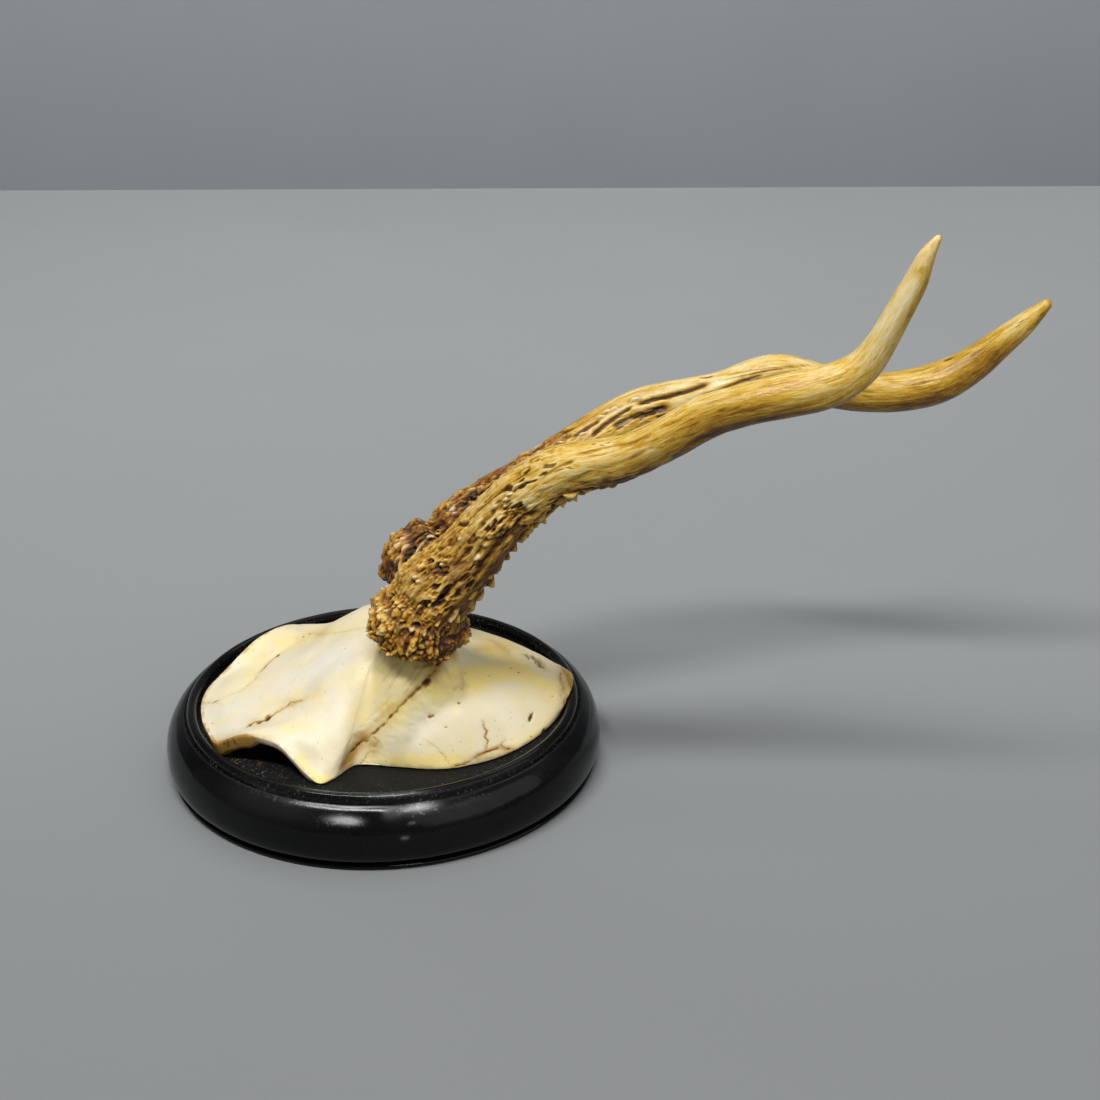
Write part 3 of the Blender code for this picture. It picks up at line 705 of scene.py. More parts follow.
def bone_height(x, y):
    """Height of the cap's upper surface with both bony stumps on it."""
    side = y - midline(x)
    ri, rw = hermite_weights(TABLE_X, x)
    ci, cw = hermite_weights(SIDEWAYS, side)
    z = 0.0
    for r, wr in zip(ri, rw):
        for c, wc in zip(ci, cw):
            z = z + TABLE_FULL[r, c] * wr * wc
    for sx, sy, high, rx, ry in SWELLS:
        z = z + high * np.exp(-((x - sx) / rx) ** 2 - ((y - sy) / ry) ** 2)
    for stations, sign in ((LEFT_STATIONS, -1.0), (RIGHT_STATIONS, 1.0)):
        n = burr_axis(sign)
        mx, my, mz, _ = stations[0]
        dx, dy = x - mx, y - my
        away = np.maximum(np.hypot(dx, dy), 1e-6)
        slim = 1 + (0.20 * np.maximum(dx / away, 0) if sign > 0 else 0.0)
        rear = smooth01((dx / away + 0.38) / 0.50)
        fall = FLARE_SLOPE + (FLARE_SLOPE_REAR - FLARE_SLOPE) * rear
        soft = FLARE_SOFT + (FLARE_SOFT_REAR - FLARE_SOFT) * rear
        slope = mz - FLARE_BELOW - fall * np.maximum(away * slim - FLARE_FROM, 0.0)
        z = soft * np.logaddexp(z / soft, slope / soft)
        # the stump itself, flat-topped under the burr
        top = mz - (BURR_BELOW + GAP) / n[2] - (n[0] * dx + n[1] * dy) / n[2]
        cx, cy = mx - n[0] * 6.5, my - n[1] * 6.5
        out = np.hypot(x - cx, y - cy) * slim
        wall = mz - FLARE_BELOW + 3.2 * (10.4 - out)
        z = np.where(out < 11.5, np.minimum(smax(z, wall, 0.5), np.maximum(top, 0)), z)
    return z


def cap_surface(rim, depth, down):
    """Points of one of the cap's two surfaces: (depths, rim points, 3)."""
    f = depth[:, None]
    rho = 1.0 - f
    xy = rim[None, :, :2] + (CAP_CENTRE - rim[None, :, :2]) * f[..., None]
    shape = xy.shape[:2]
    full = bone_height(xy[..., 0].ravel(), xy[..., 1].ravel()).reshape(shape) - down
    full = np.maximum(full, BONE_Z + 0.2)
    steep = 1.0 / (1.0 + np.exp(-(rim[:, 0] + 4.0) / 4.0))[None]
    power = 1.0 + 3.6 * steep
    lift = (1.0 - np.minimum(rho, 1.0) ** power) ** (1.0 / (1.0 + 0.9 * steep))
    lift = 1.0 - (1.0 - np.clip(lift * 1.12, 0, 1)) ** 1.2
    brow = np.sqrt(smooth01(f / 0.12))
    share = np.clip(lift * steep + brow * (1 - steep), 0, 1)
    z = rim[None, :, 2] * (1 - share) + full * share
    return np.concatenate([xy, z[..., None]], -1)


def even_depths(rim, count, down, last=0.993):
    """Depths along each line to the middle that space the rings evenly."""
    fine = np.linspace(0, last, 500)
    p = cap_surface(rim, fine, down)
    step = np.linalg.norm(np.diff(p, axis=0), axis=2)
    run = np.vstack([np.zeros(len(rim)), np.cumsum(step, 0)])
    run = run / run[-1]
    run = 0.8 * run + 0.2 * (fine / last)[:, None]
    want = np.linspace(0, 1, count)
    return np.stack([np.interp(want, run[:, j], fine) for j in range(len(rim))], 1)


def surface_at(rim, depths, down):
    rows, cols = depths.shape
    flat_rim = np.tile(rim, (rows, 1))
    f = depths.ravel()
    out = np.empty((rows, cols, 3))
    # one ring of depths at a time keeps the same formulas as cap_surface
    for i in range(rows):
        fi = depths[i]
        rho = 1.0 - fi
        xy = rim[:, :2] + (CAP_CENTRE - rim[:, :2]) * fi[:, None]
        full = np.maximum(bone_height(xy[:, 0], xy[:, 1]) - down, BONE_Z + 0.2)
        steep = 1.0 / (1.0 + np.exp(-(rim[:, 0] + 4.0) / 4.0))
        power = 1.0 + 3.6 * steep
        lift = (1.0 - np.minimum(rho, 1.0) ** power) ** (1.0 / (1.0 + 0.9 * steep))
        lift = 1.0 - (1.0 - np.clip(lift * 1.12, 0, 1)) ** 1.2
        brow = np.sqrt(smooth01(fi / 0.12))
        share = np.clip(lift * steep + brow * (1 - steep), 0, 1)
        out[i] = np.column_stack([xy, rim[:, 2] * (1 - share) + full * share])
    return out


def cap_rim(count):
    fine = catmull(CAP_RIM, 3000, closed=True)
    weight = 1.0 + 0.9 * smooth01((-fine[:, 1] - 2.0) / 14.0) + 0.25 * smooth01((-fine[:, 0] - 10) / 20)
    total = np.r_[0, np.cumsum(weight)]
    want = np.linspace(0, total[-1], count, endpoint=False)
    closed = np.vstack([fine, fine[:1]])
    return np.stack([np.interp(want, total, closed[:, k]) for k in range(3)], 1)


def ray_hits(tree, pixels, steps=2.0):
    """Follow a line drawn on the picture and give the points it meets."""
    pixels = np.array(pixels, float)
    if len(pixels) > 1:
        run = run_of(np.column_stack([pixels, np.zeros(len(pixels))]))
        want = np.linspace(0, run[-1], max(2, int(run[-1] / steps) + 1))
        pixels = np.stack([np.interp(want, run, pixels[:, k]) for k in range(2)], 1)
    out = []
    for u, v in pixels:
        hit = tree.ray_cast(Vector(CAM_AT), Vector(sight(u, v)))
        if hit[0] is not None:
            out.append(np.array(hit[0]))
    return np.array(out) if out else np.zeros((0, 3))


def grid_tree(p):
    rows, cols, _ = p.shape
    a = np.arange(rows * cols).reshape(rows, cols)
    b = np.roll(a, -1, axis=1)
    quads = np.stack([a[:-1], b[:-1], b[1:], a[1:]], -1).reshape(-1, 4)
    return BVHTree.FromPolygons([Vector(q) for q in p.reshape(-1, 3)], quads.tolist())


# lines on the bone, as drawn on the picture: points, half width and depth in
# mm, darkness, raggedness in mm
BONE_LINES = (
    # suture between brow and braincase, from the stump down to the valley
    (((439, 657), (438, 664), (436, 671), (430, 677), (426, 682), (421, 688), (412, 696), (398, 708),
      (383, 724), (371, 735), (360, 744), (350, 755)), 0.34, 0.45, 1.0, 0.46),
    (((377, 743), (370, 750), (366, 756), (361, 763), (356, 768)), 0.25, 0.20, 0.45, 0.5),
    (((371, 735), (377, 741), (379, 745)), 0.25, 0.15, 0.4, 0.4),
    # crack down the braincase
    (((483, 721), (484, 727), (487, 731), (486, 737), (488, 742), (486, 750)), 0.26, 0.35, 0.8, 0.35),
    # scale-like suture low on the side
    (((516, 752), (511, 749), (505, 748), (501, 745), (496, 749), (489, 751), (484, 753), (478, 756),
      (471, 761), (465, 764), (458, 765), (452, 768)), 0.30, 0.35, 0.8, 0.45),
    (((501, 745), (503, 742), (506, 740)), 0.2, 0.2, 0.6, 0.2),
    (((426, 740), (432, 744), (439, 750), (446, 758), (452, 767)), 0.18, 0.16, 0.45, 0.35),
    # groove over the near eye
    (((246, 727), (252, 722), (257, 720), (263, 719), (268, 716)), 0.34, 0.42, 0.75, 0.2),
    (((268, 716), (278, 710), (285, 705), (290, 702), (298, 700), (303, 699)), 0.5, 0.28, 0.40, 0.5),
    (((283, 705), (290, 704), (296, 708)), 0.25, 0.15, 0.3, 0.3),
    # crack over the far eye
    (((277, 654), (273, 657), (270, 660), (264, 666), (259, 671)), 0.26, 0.30, 0.75, 0.25),
    (((259, 671), (253, 679), (247, 685), (240, 690), (236, 692), (226, 697), (220, 700)), 0.22, 0.12, 0.35, 0.4),
    (((220, 700), (213, 702), (208, 703)), 0.26, 0.18, 0.45, 0.3),
    (((371, 627), (350, 630), (338, 632), (322, 633), (306, 634)), 0.24, 0.14, 0.30, 0.25),
    # hairlines
    (((301, 664), (299, 672), (294, 680), (290, 690), (286, 698), (283, 705)), 0.14, 0.05, 0.22, 0.3),
    (((205, 702), (216, 703), (224, 705)), 0.14, 0.05, 0.25, 0.3),
    (((236, 698), (240, 690), (249, 682), (258, 676)), 0.14, 0.05, 0.2, 0.4),
    (((298, 668), (303, 660), (307, 650)), 0.12, 0.04, 0.16, 0.3),
    (((384, 724), (400, 706), (407, 693), (414, 676)), 0.16, 0.06, 0.22, 0.4),
    (((392, 712), (402, 696), (411, 678)), 0.14, 0.05, 0.2, 0.4),
    (((399, 690), (404, 680), (407, 670)), 0.12, 0.05, 0.2, 0.4),
    # ragged edge at the back of the skull
    (((556, 662), (563, 668), (568, 676), (571, 686), (572, 697)), 0.5, 0.3, 0.55, 0.8),
    (((563, 672), (560, 680), (564, 688), (561, 696), (565, 703)), 0.3, 0.2, 0.5, 0.8),
    (((571, 702), (566, 708), (562, 715), (557, 722)), 0.35, 0.3, 0.7, 0.4),
)
# pits and holes: picture place, half length and width mm, turn, depth, darkness
BONE_PITS = (
    (430, 717, 0.7, 0.45, 0.2, 0.35, 0.60), (433, 716, 0.5, 0.35, 0.2, 0.25, 0.5),
    (459, 703, 0.35, 0.3, 0.0, 0.2, 0.7), (446, 727, 0.35, 0.3, 0.0, 0.2, 0.6),
    (443, 738, 0.25, 0.2, 0.0, 0.15, 0.4), (420, 745, 0.25, 0.2, 0.0, 0.15, 0.35),
    (531, 717, 1.15, 0.45, 1.2, 0.6, 0.8), (544, 731, 0.9, 0.36, 1.2, 0.4, 0.7),
    (531, 737, 0.3, 0.25, 0.0, 0.2, 0.5), (553, 696, 0.3, 0.2, 0.0, 0.2, 0.4),
    (519, 671, 0.35, 0.2, 0.0, 0.2, 0.6), (511, 667, 0.25, 0.2, 0.0, 0.15, 0.4),
    (490, 674, 0.35, 0.2, 0.6, 0.15, 0.45), (466, 672, 0.3, 0.2, 0.0, 0.15, 0.35),
    (267, 717, 1.0, 0.7, 0.5, 0.9, 0.95), (259, 721, 0.8, 0.5, 0.4, 0.5, 0.7),
    (250, 724, 0.6, 0.4, 0.4, 0.4, 0.6), (277, 654, 0.5, 0.35, 0.5, 0.3, 0.7),
    (212, 723, 0.3, 0.25, 0.0, 0.15, 0.45), (196, 704, 0.25, 0.2, 0.0, 0.15, 0.3),
    (345, 649, 0.3, 0.2, 0.0, 0.15, 0.35), (366, 657, 0.25, 0.2, 0.0, 0.12, 0.3),
    (303, 636, 0.35, 0.3, 0.0, 0.2, 0.5), (309, 633, 0.3, 0.25, 0.0, 0.2, 0.5),
    (343, 664, 0.3, 0.2, 0.0, 0.15, 0.3), (378, 645, 0.35, 0.3, 0.0, 0.2, 0.5),
    (379, 652, 0.5, 0.4, 0.0, 0.25, 0.4), (302, 672, 0.3, 0.2, 0.0, 0.12, 0.25),
    (427, 683, 1.5, 0.9, 0.9, 0.6, 0.85), (438, 664, 1.0, 0.8, 1.4, 0.7, 0.8),
    (418, 690, 0.9, 0.5, 0.8, 0.4, 0.6), (366, 741, 0.8, 0.5, 0.8, 0.3, 0.5),
)
# soft stain marks, with painted shading and painted light among them: attribute, picture place, reach in mm (across,
# up the picture), strength
BONE_STAINS_AND_PAINTED_LIGHT = (
    ("yellow", 455, 680, 6.0, 3.0, 0.60), ("yellow", 478, 673, 6.5, 2.6, 0.55),
    ("yellow", 440, 694, 3.5, 3.5, 0.50), ("yellow", 503, 671, 5.0, 2.4, 0.35),
    ("yellow", 423, 706, 3.5, 3.0, 0.25), ("yellow", 375, 670, 5.5, 6.5, 0.22),
    ("yellow", 385, 693, 5.0, 6.0, 0.28), ("yellow", 402, 668, 5.0, 4.0, 0.35),
    ("yellow", 418, 655, 5.0, 3.0, 0.55), ("yellow", 395, 715, 4.0, 5.0, 0.30),
    ("yellow", 322, 780, 2.5, 1.6, 0.75), ("yellow", 305, 757, 3.0, 2.0, 0.30),
    ("yellow", 300, 727, 6.0, 3.0, 0.20), ("yellow", 400, 763, 9.0, 2.5, 0.22),
    ("yellow", 455, 742, 7.0, 4.0, 0.12), ("yellow", 525, 745, 8.0, 3.0, 0.35),
    ("yellow", 548, 685, 5.0, 2.0, 0.30), ("yellow", 560, 700, 4.0, 5.0, 0.25),
    ("yellow", 280, 640, 8.0, 2.6, 0.30), ("yellow", 330, 632, 8.0, 2.0, 0.25),
    ("yellow", 250, 690, 6.0, 4.0, 0.18), ("yellow", 222, 700, 4.0, 2.5, 0.22),
    # the tan marks just under the near burr are brown stain with painted shading under the burr
    ("tan", 428, 662, 3.6, 2.2, 0.42), ("tan", 436, 672, 2.4, 3.0, 0.30),
    ("tan", 410, 650, 4.5, 1.8, 0.30), ("tan", 452, 655, 4.0, 1.8, 0.30),
    ("tan", 351, 755, 1.8, 3.2, 0.62), ("tan", 345, 764, 1.6, 2.2, 0.45),
    ("tan", 362, 738, 1.8, 2.6, 0.40), ("tan", 372, 745, 2.2, 2.0, 0.28),
    ("tan", 412, 690, 1.8, 3.6, 0.14), ("tan", 567, 685, 2.4, 6.5, 0.42),
    ("tan", 562, 668, 3.0, 2.0, 0.25), ("tan", 290, 702, 3.5, 1.4, 0.20),
    ("tan", 258, 722, 3.5, 1.2, 0.30), ("tan", 222, 745, 4.5, 1.8, 0.72),
    ("tan", 240, 739, 4.0, 1.2, 0.55), ("tan", 262, 738, 4.0, 0.9, 0.35),
    ("tan", 205, 703, 2.5, 1.2, 0.20), ("tan", 315, 632, 5.0, 1.0, 0.20),
    ("tan", 480, 757, 7.0, 1.2, 0.25), ("tan", 509, 749, 3.0, 1.2, 0.30),
    ("tan", 300, 628, 4.0, 1.2, 0.15), ("tan", 497, 647, 5.0, 1.2, 0.14),
    # the two dark marks are painted shading, darkening the brow and the corner behind the near eye where the lamps
    # light them most
    ("dark", 222, 716, 9.0, 5.5, 0.13), ("dark", 320, 750, 6.0, 6.0, 0.07), ("yellow", 326, 746, 3.5, 5.0, 0.22),
    # yellow and tan on the braincase top beside the near beam: stain with the beam's painted shadow over it
    ("yellow", 498, 648, 8.0, 3.0, 0.50), ("tan", 502, 643, 8.0, 2.4, 0.34),
    ("yellow", 425, 760, 12.0, 2.0, 0.50), ("yellow", 470, 686, 8.0, 3.0, 0.25), ("yellow", 545, 695, 5.0, 5.0, 0.25),
    ("pale", 320, 735, 5.0, 5.5, 0.30), ("pale", 335, 660, 11.0, 6.0, 0.75),
    # the pale patch at (490, 705) lightens the braincase as painted light
    ("pale", 490, 705, 11.0, 6.0, 0.45), ("pale", 430, 730, 6.0, 5.0, 0.25),
    ("pale", 225, 715, 9.0, 6.0, 0.60), ("pale", 285, 680, 9.0, 5.0, 0.20),
    ("pale", 335, 705, 4.0, 9.0, 0.25), ("pale", 530, 700, 5.0, 4.0, 0.20),
)


# soft bands: attribute, picture line, half width mm, strength, depth mm
BONE_BANDS = (
    # yellow trough over the dome of the braincase
    ("yellow", ((438, 697), (452, 685), (470, 678), (490, 673), (512, 671), (532, 676), (550, 686)), 3.4, 0.80, 0.55),
    # yellow and tan on the braincase top beside the near beam: stain with the beam's painted shadow over it
    ("yellow", ((478, 648), (496, 652), (515, 660), (535, 670)), 3.6, 0.50, 0.10),
    ("tan", ((484, 637), (497, 642), (507, 650), (511, 658)), 1.5, 0.32, 0.15),
    ("tan", ((470, 650), (482, 648), (494, 650)), 2.4, 0.22, 0.0),
    # stained slope left of the suture
    ("yellow", ((440, 668), (428, 682), (412, 696), (392, 716), (372, 738), (352, 762)), 4.4, 0.55, 0.45),
    ("tan", ((443, 660), (436, 670), (426, 681), (412, 694), (398, 706)), 1.5, 0.30, 0.0),
    ("tan", ((398, 702), (388, 710), (378, 720), (366, 732), (356, 745)), 0.9, 0.42, 0.12),
    ("tan", ((362, 742), (352, 754), (344, 766), (338, 774)), 1.3, 0.50, 0.20),
    ("tan", ((412, 655), (402, 668), (393, 681), (387, 691)), 0.30, 0.40, 0.08),
    ("tan", ((405, 655), (394, 667), (386, 677), (379, 686)), 0.26, 0.32, 0.06),
    ("tan", ((420, 661), (411, 676), (402, 689)), 0.28, 0.34, 0.06),
    ("tan", ((427, 662), (420, 672), (412, 684), (402, 697)), 0.30, 0.36, 0.06),
    ("tan", ((397, 655), (388, 664), (380, 672)), 0.24, 0.22, 0.04),
    ("tan", ((391, 697), (380, 708), (370, 716), (362, 726)), 0.25, 0.26, 0.04),
    ("yellow", ((385, 655), (378, 675), (368, 700), (356, 730)), 3.2, 0.35, 0.0),
    # far orbit: shallow trough inside its raised rim
    ("yellow", ((236, 694), (250, 680), (266, 660), (290, 645), (315, 636), (345, 631)), 2.4, 0.20, 0.50),
    ("tan", ((262, 668), (280, 652), (300, 640), (322, 633)), 0.9, 0.14, 0.0),
    # over the near orbit
    ("yellow", ((250, 725), (268, 716), (286, 706), (304, 699), (325, 692)), 1.8, 0.40, 0.35),
    ("tan", ((272, 713), (286, 706), (300, 700)), 0.9, 0.36, 0.0),
    ("yellow", ((296, 752), (306, 766), (318, 779), (330, 779)), 1.2, 0.70, 0.0),
    # low on the near side
    ("yellow", ((375, 763), (405, 767), (440, 768), (470, 765)), 3.6, 0.48, 0.0),
    ("yellow", ((488, 760), (515, 752), (540, 736), (556, 715)), 3.0, 0.50, 0.0),
    ("tan", ((471, 761), (484, 753), (500, 747), (514, 752)), 0.9, 0.36, 0.0),
    ("tan", ((366, 746), (374, 744), (377, 750), (370, 757)), 1.2, 0.40, 0.10),
    # edges
    ("tan", ((563, 666), (570, 676), (572, 690), (570, 704)), 1.3, 0.80, 0.25),
    ("tan", ((559, 674), (563, 684), (566, 696)), 1.0, 0.35, 0.20),
    ("tan", ((211, 745), (220, 742), (232, 739), (244, 737), (256, 736)), 1.0, 0.80, 0.0),
    ("tan", ((213, 751), (222, 749), (232, 746), (242, 742)), 1.5, 1.00, 0.0),
    ("tan", ((203, 727), (206, 736), (211, 744)), 0.5, 0.35, 0.0),
)


def make_skull(mat):
    rim = cap_rim(470)
    outer = surface_at(rim, even_depths(rim, 168, 0.0), 0.0)
    inward = CAP_CENTRE - rim[:, :2]
    inward /= np.linalg.norm(inward, axis=1)[:, None]
    reach = np.hypot(rim[:, 0], rim[:, 1])
    clear = np.maximum(reach - 52.8, 0.0) * 1.2
    corner = smooth01((-33.0 - rim[:, 0]) / 3.0) * smooth01((-13.0 - rim[:, 1]) / 4.0)
    bottom = np.maximum(BONE_Z, rim[:, 2] - 2.2 - 2.2 * corner)
    edge = []
    for part, down in ((0.02, 0.22), (0.10, 0.5), (0.30, 0.8), (0.62, 1.0)):
        row = rim.copy()
        row[:, :2] += inward * (part * 0.8 + clear * down)[:, None]
        row[:, 2] = rim[:, 2] + (bottom - rim[:, 2]) * down
        edge.append(row)
    inner_rim = rim.copy()
    inner_rim[:, :2] += inward * 2.9
    inner_rim[:, 2] = bottom
    inner = surface_at(inner_rim, even_depths(inner_rim, 22, 3.6, 0.985), 3.6)
    under_stump = np.zeros(inner.shape[:2])
    for stations in (LEFT_STATIONS, RIGHT_STATIONS):
        d = np.hypot(inner[..., 0] - stations[0][0], inner[..., 1] - stations[0][1])
        under_stump = np.maximum(under_stump, np.exp(-(d / 9.0) ** 4))
    inner[..., 2] = np.minimum(inner[..., 2], 36.5 - 2.0 * under_stump)
    n_outer = len(outer)
    p = np.concatenate([outer[::-1], np.array(edge), inner])
    rows, cols, _ = p.shape
    normal = grid_normals(p)
    mid = normal[n_outer // 2]
    if (mid[:, 2]).mean() < 0:
        normal = -normal
    flat = p.reshape(-1, 3)
    outside = np.zeros((rows, cols))
    outside[:n_outer + 2] = 1.0
    outside = outside.ravel()
    tree = grid_tree(p)
    push = np.zeros(rows * cols)
    marks = {k: np.zeros(rows * cols) for k in ("crack", "dark", "tan", "yellow", "pale")}

    # the bone's own unevenness
    push += 0.16 * fbm(flat * 0.11, 3, 40) + 0.05 * fbm(flat * 0.45, 3, 50)
    push += 0.018 * noise(flat * 1.6, 60)
    rng = np.random.default_rng(7)
    for pixels, half, deep, dark, ragged in BONE_LINES:
        line = ray_hits(tree, pixels, 1.6)
        if len(line) < 2:
            continue
        wobble = rng.normal(0, ragged * 0.5, (len(line), 3))
        wobble[1:-1] = 0.35 * wobble[:-2] + 0.6 * wobble[1:-1] + 0.35 * wobble[2:]
        wobble[:, 2] *= 0.3
        wobble[0] = wobble[-1] = 0
        line = line + wobble
        lo, hi = line.min(0) - 3, line.max(0) + 3
        near = np.nonzero(((flat > lo) & (flat < hi)).all(1) & (outside > 0))[0]
        d, t = line_distance(flat[near], line)
        vary = 0.75 + 0.35 * noise(flat[near] * 0.9, 70)
        ends = smooth01(np.minimum(t, 1 - t) / 0.06)
        groove = np.exp(-(d / half) ** 2) * vary * (0.3 + 0.7 * ends)
        push[near] -= deep * groove
        marks["crack"][near] = np.maximum(marks["crack"][near], dark * groove)
        halo = np.exp(-(d / (half * 3.2)) ** 2) * dark * 0.32
        marks["tan"][near] = np.maximum(marks["tan"][near], halo)
    for u, v, long, wide, turn, deep, dark in BONE_PITS:
        hit = ray_hits(tree, [(u, v)])
        if not len(hit):
            continue
        rel = flat - hit[0]
        near = np.nonzero((np.abs(rel).max(1) < 4 * long) & (outside > 0))[0]
        rel = rel[near]
        a, b = rel @ CAM_RIGHT, rel @ CAM_UP
        ca, sa = math.cos(turn), math.sin(turn)
        q = np.sqrt(((ca * a + sa * b) / long) ** 2 + ((-sa * a + ca * b) / wide) ** 2)
        q = q * (1 + 0.25 * noise(flat[near] * 1.7, 80))
        pit = np.exp(-q ** 2.5)
        push[near] -= deep * pit
        marks["crack"][near] = np.maximum(marks["crack"][near], dark * pit)
    # stain marks, among them painted shading and painted light
    for kind, u, v, wide, high, strength in BONE_STAINS_AND_PAINTED_LIGHT:
        hit = ray_hits(tree, [(u, v)])
        if not len(hit):
            continue
        rel = flat - hit[0]
        q = ((rel @ CAM_RIGHT) / wide) ** 2 + ((rel @ CAM_UP) / high) ** 2 + ((rel @ CAM_AHEAD) / 14.0) ** 2
        marks[kind] += strength * np.exp(-q) * outside
    for kind, pixels, half, strength, deep in BONE_BANDS:
        line = ray_hits(tree, pixels, 2.0)
        if len(line) < 2:
            continue
        lo, hi = line.min(0) - 3 * half, line.max(0) + 3 * half
        near = np.nonzero(((flat > lo) & (flat < hi)).all(1))[0]
        d, t = line_distance(flat[near], line)
        d = d * (1 + 0.25 * noise(flat[near] * 0.5, 75)) + 0.2 * half * noise(flat[near] * 1.3, 76)
        band = np.exp(-(d / half) ** 2) * (0.25 + 0.75 * smooth01(np.minimum(t, 1 - t) / 0.18))
        marks[kind][near] += strength * band * (0.85 + 0.3 * noise(flat[near] * 0.7, 77))
        push[near] -= deep * band
    # broken place high on the back of the braincase
    hole = ray_hits(tree, [(529, 656), (536, 657), (539, 661), (542, 666)], 1.0)
    if len(hole):
        near = np.nonzero((np.linalg.norm(flat - hole.mean(0), axis=1) < 7) & (outside > 0))[0]
        d, _ = line_distance(flat[near], hole)
        rag = d + 1.5 * fbm(flat[near] * 1.0, 3, 90)
        pit = smooth01((1.25 - rag) / 0.4)
        push[near] -= 1.7 * pit
        marks["dark"][near] = np.maximum(marks["dark"][near], pit)
        marks["tan"][near] = np.maximum(marks["tan"][near], 0.45 * smooth01((2.6 - rag) / 1.8))
    # the far side, which the picture doesn't show, gets scattered tan and yellow
    # staining and its own sutures; yellow also spreads over the back of the braincase
    x, y, z = flat.T
    far = smooth01((y - midline(x) - 16) / 6) * outside
    marks["tan"] += 0.18 * far * smooth01(fbm(flat * 0.16, 4, 95) * 2.0)
    marks["yellow"] += 0.30 * far * smooth01(fbm(flat * 0.09, 3, 96) * 1.6 + 0.3)
    marks["yellow"] += 0.16 * smooth01((x - 8) / 14) * outside + 0.22 * outside * smooth01(fbm(flat * 0.13, 3, 93) * 2.2)
    coronal = np.array([[18, 12, 0], [12, 22, 0], [5, 27, 0], [-1, 30, 0], [-5, 31, 0]], float)
    coronal[:, 2] = bone_height(coronal[:, 0], coronal[:, 1])
    scale = np.array([[45, 21, 22], [36, 29, 20.5], [27, 33, 20], [18, 34, 20.5], [9, 32.5, 20]], float)
    middle = np.array([[-50, 0, 0], [-30, 0, 0], [-12, 0, 0], [0, 0, 0], [6, 0, 0], [17, 0, 0]], float)
    middle[:, 1] = midline(middle[:, 0])
    middle[:, 2] = bone_height(middle[:, 0], middle[:, 1])
    lambda_line = np.array([[45, -12, 0], [49, -4, 0], [50, 3, 0], [48.5, 10, 0], [43, 17, 0]], float)
    lambda_line[:, 2] = bone_height(lambda_line[:, 0], lambda_line[:, 1])
    for line, half, deep, dark in ((coronal, 0.34, 0.35, 0.8), (scale, 0.3, 0.3, 0.7),
                                   (middle, 0.14, 0.08, 0.20), (lambda_line, 0.25, 0.15, 0.35)):
        line = catmull(line, 60)
        line = line + rng.normal(0, 0.35, line.shape)
        lo, hi = line.min(0) - 3, line.max(0) + 3
        near = np.nonzero(((flat > lo) & (flat < hi)).all(1) & (outside > 0))[0]
        d, t = line_distance(flat[near], line)
        groove = np.exp(-(d / half) ** 2) * (0.75 + 0.3 * noise(flat[near] * 0.9, 71))
        push[near] -= deep * groove
        marks["crack"][near] = np.maximum(marks["crack"][near], dark * groove)
        marks["tan"][near] = np.maximum(marks["tan"][near], np.exp(-(d / (half * 3)) ** 2) * dark * 0.3)
    # rough sawn and porous edge all round
    level = np.zeros((rows, cols))
    level[n_outer - 3:n_outer + 5] = 1.0
    level = level.ravel()
    brow = smooth01((-x - 30) / 8)
    marks["tan"] += level * (0.25 + 0.35 * brow) * smooth01(fbm(flat * 0.5, 3, 97) * 2 + 0.5)
    back = smooth01((x - 47) / 6) * outside
    push += back * 0.34 * fbm(flat * 0.8, 3, 98)
    cut = np.zeros((rows, cols))
    cut[n_outer - 1:n_outer + 6] = corner * np.ones((7, 1))
    cut = cut.ravel()
    marks["tan"] += 1.1 * cut * (0.75 + 0.5 * noise(flat * 0.9, 94))
    marks["crack"] += cut * (0.16 + 0.40 * smooth01(fbm(flat * 0.8, 3, 92) * 2.0))
    inside = (1 - outside)
    marks["tan"] += inside * (0.30 + 0.25 * fbm(flat * 0.2, 3, 99))
    # stained ring where the stumps meet the burrs: brown stain with painted shading under the burrs
    for stations, sign in ((LEFT_STATIONS, -1.0), (RIGHT_STATIONS, 1.0)):
        n = burr_axis(sign)
        m = np.array(stations[0][:3])
        rel = flat - m
        up = rel @ n
        ring = smooth01((up + 12) / 7) * (np.linalg.norm(rel, axis=1) < 22)
        marks["tan"] += 0.38 * ring * smooth01(0.6 + fbm(flat * 0.35, 3, 101))
        marks["yellow"] += 0.35 * smooth01((up + 16) / 8) * (np.linalg.norm(rel, axis=1) < 24)
        # fine vertical ridges on the stump under the burr
        angle = np.arctan2(rel[:, 1], rel[:, 0])
        push += ring * 0.05 * noise(np.column_stack([np.cos(angle) * 9, np.sin(angle) * 9, up * 0.12]), 102)
    grid = (p.reshape(-1, 3) + normal.reshape(-1, 3) * push[:, None])
    grid[:, 2] = np.maximum(grid[:, 2], BONE_Z)
    p = grid.reshape(rows, cols, 3)
    obj = grid_mesh("skull_bone", p, None, None,
                    {k: np.clip(v, 0, 1).reshape(rows, cols) for k, v in marks.items()})
    obj.data.materials.append(mat)
    return obj


# ---- antlers ----------------------------------------------------------------------

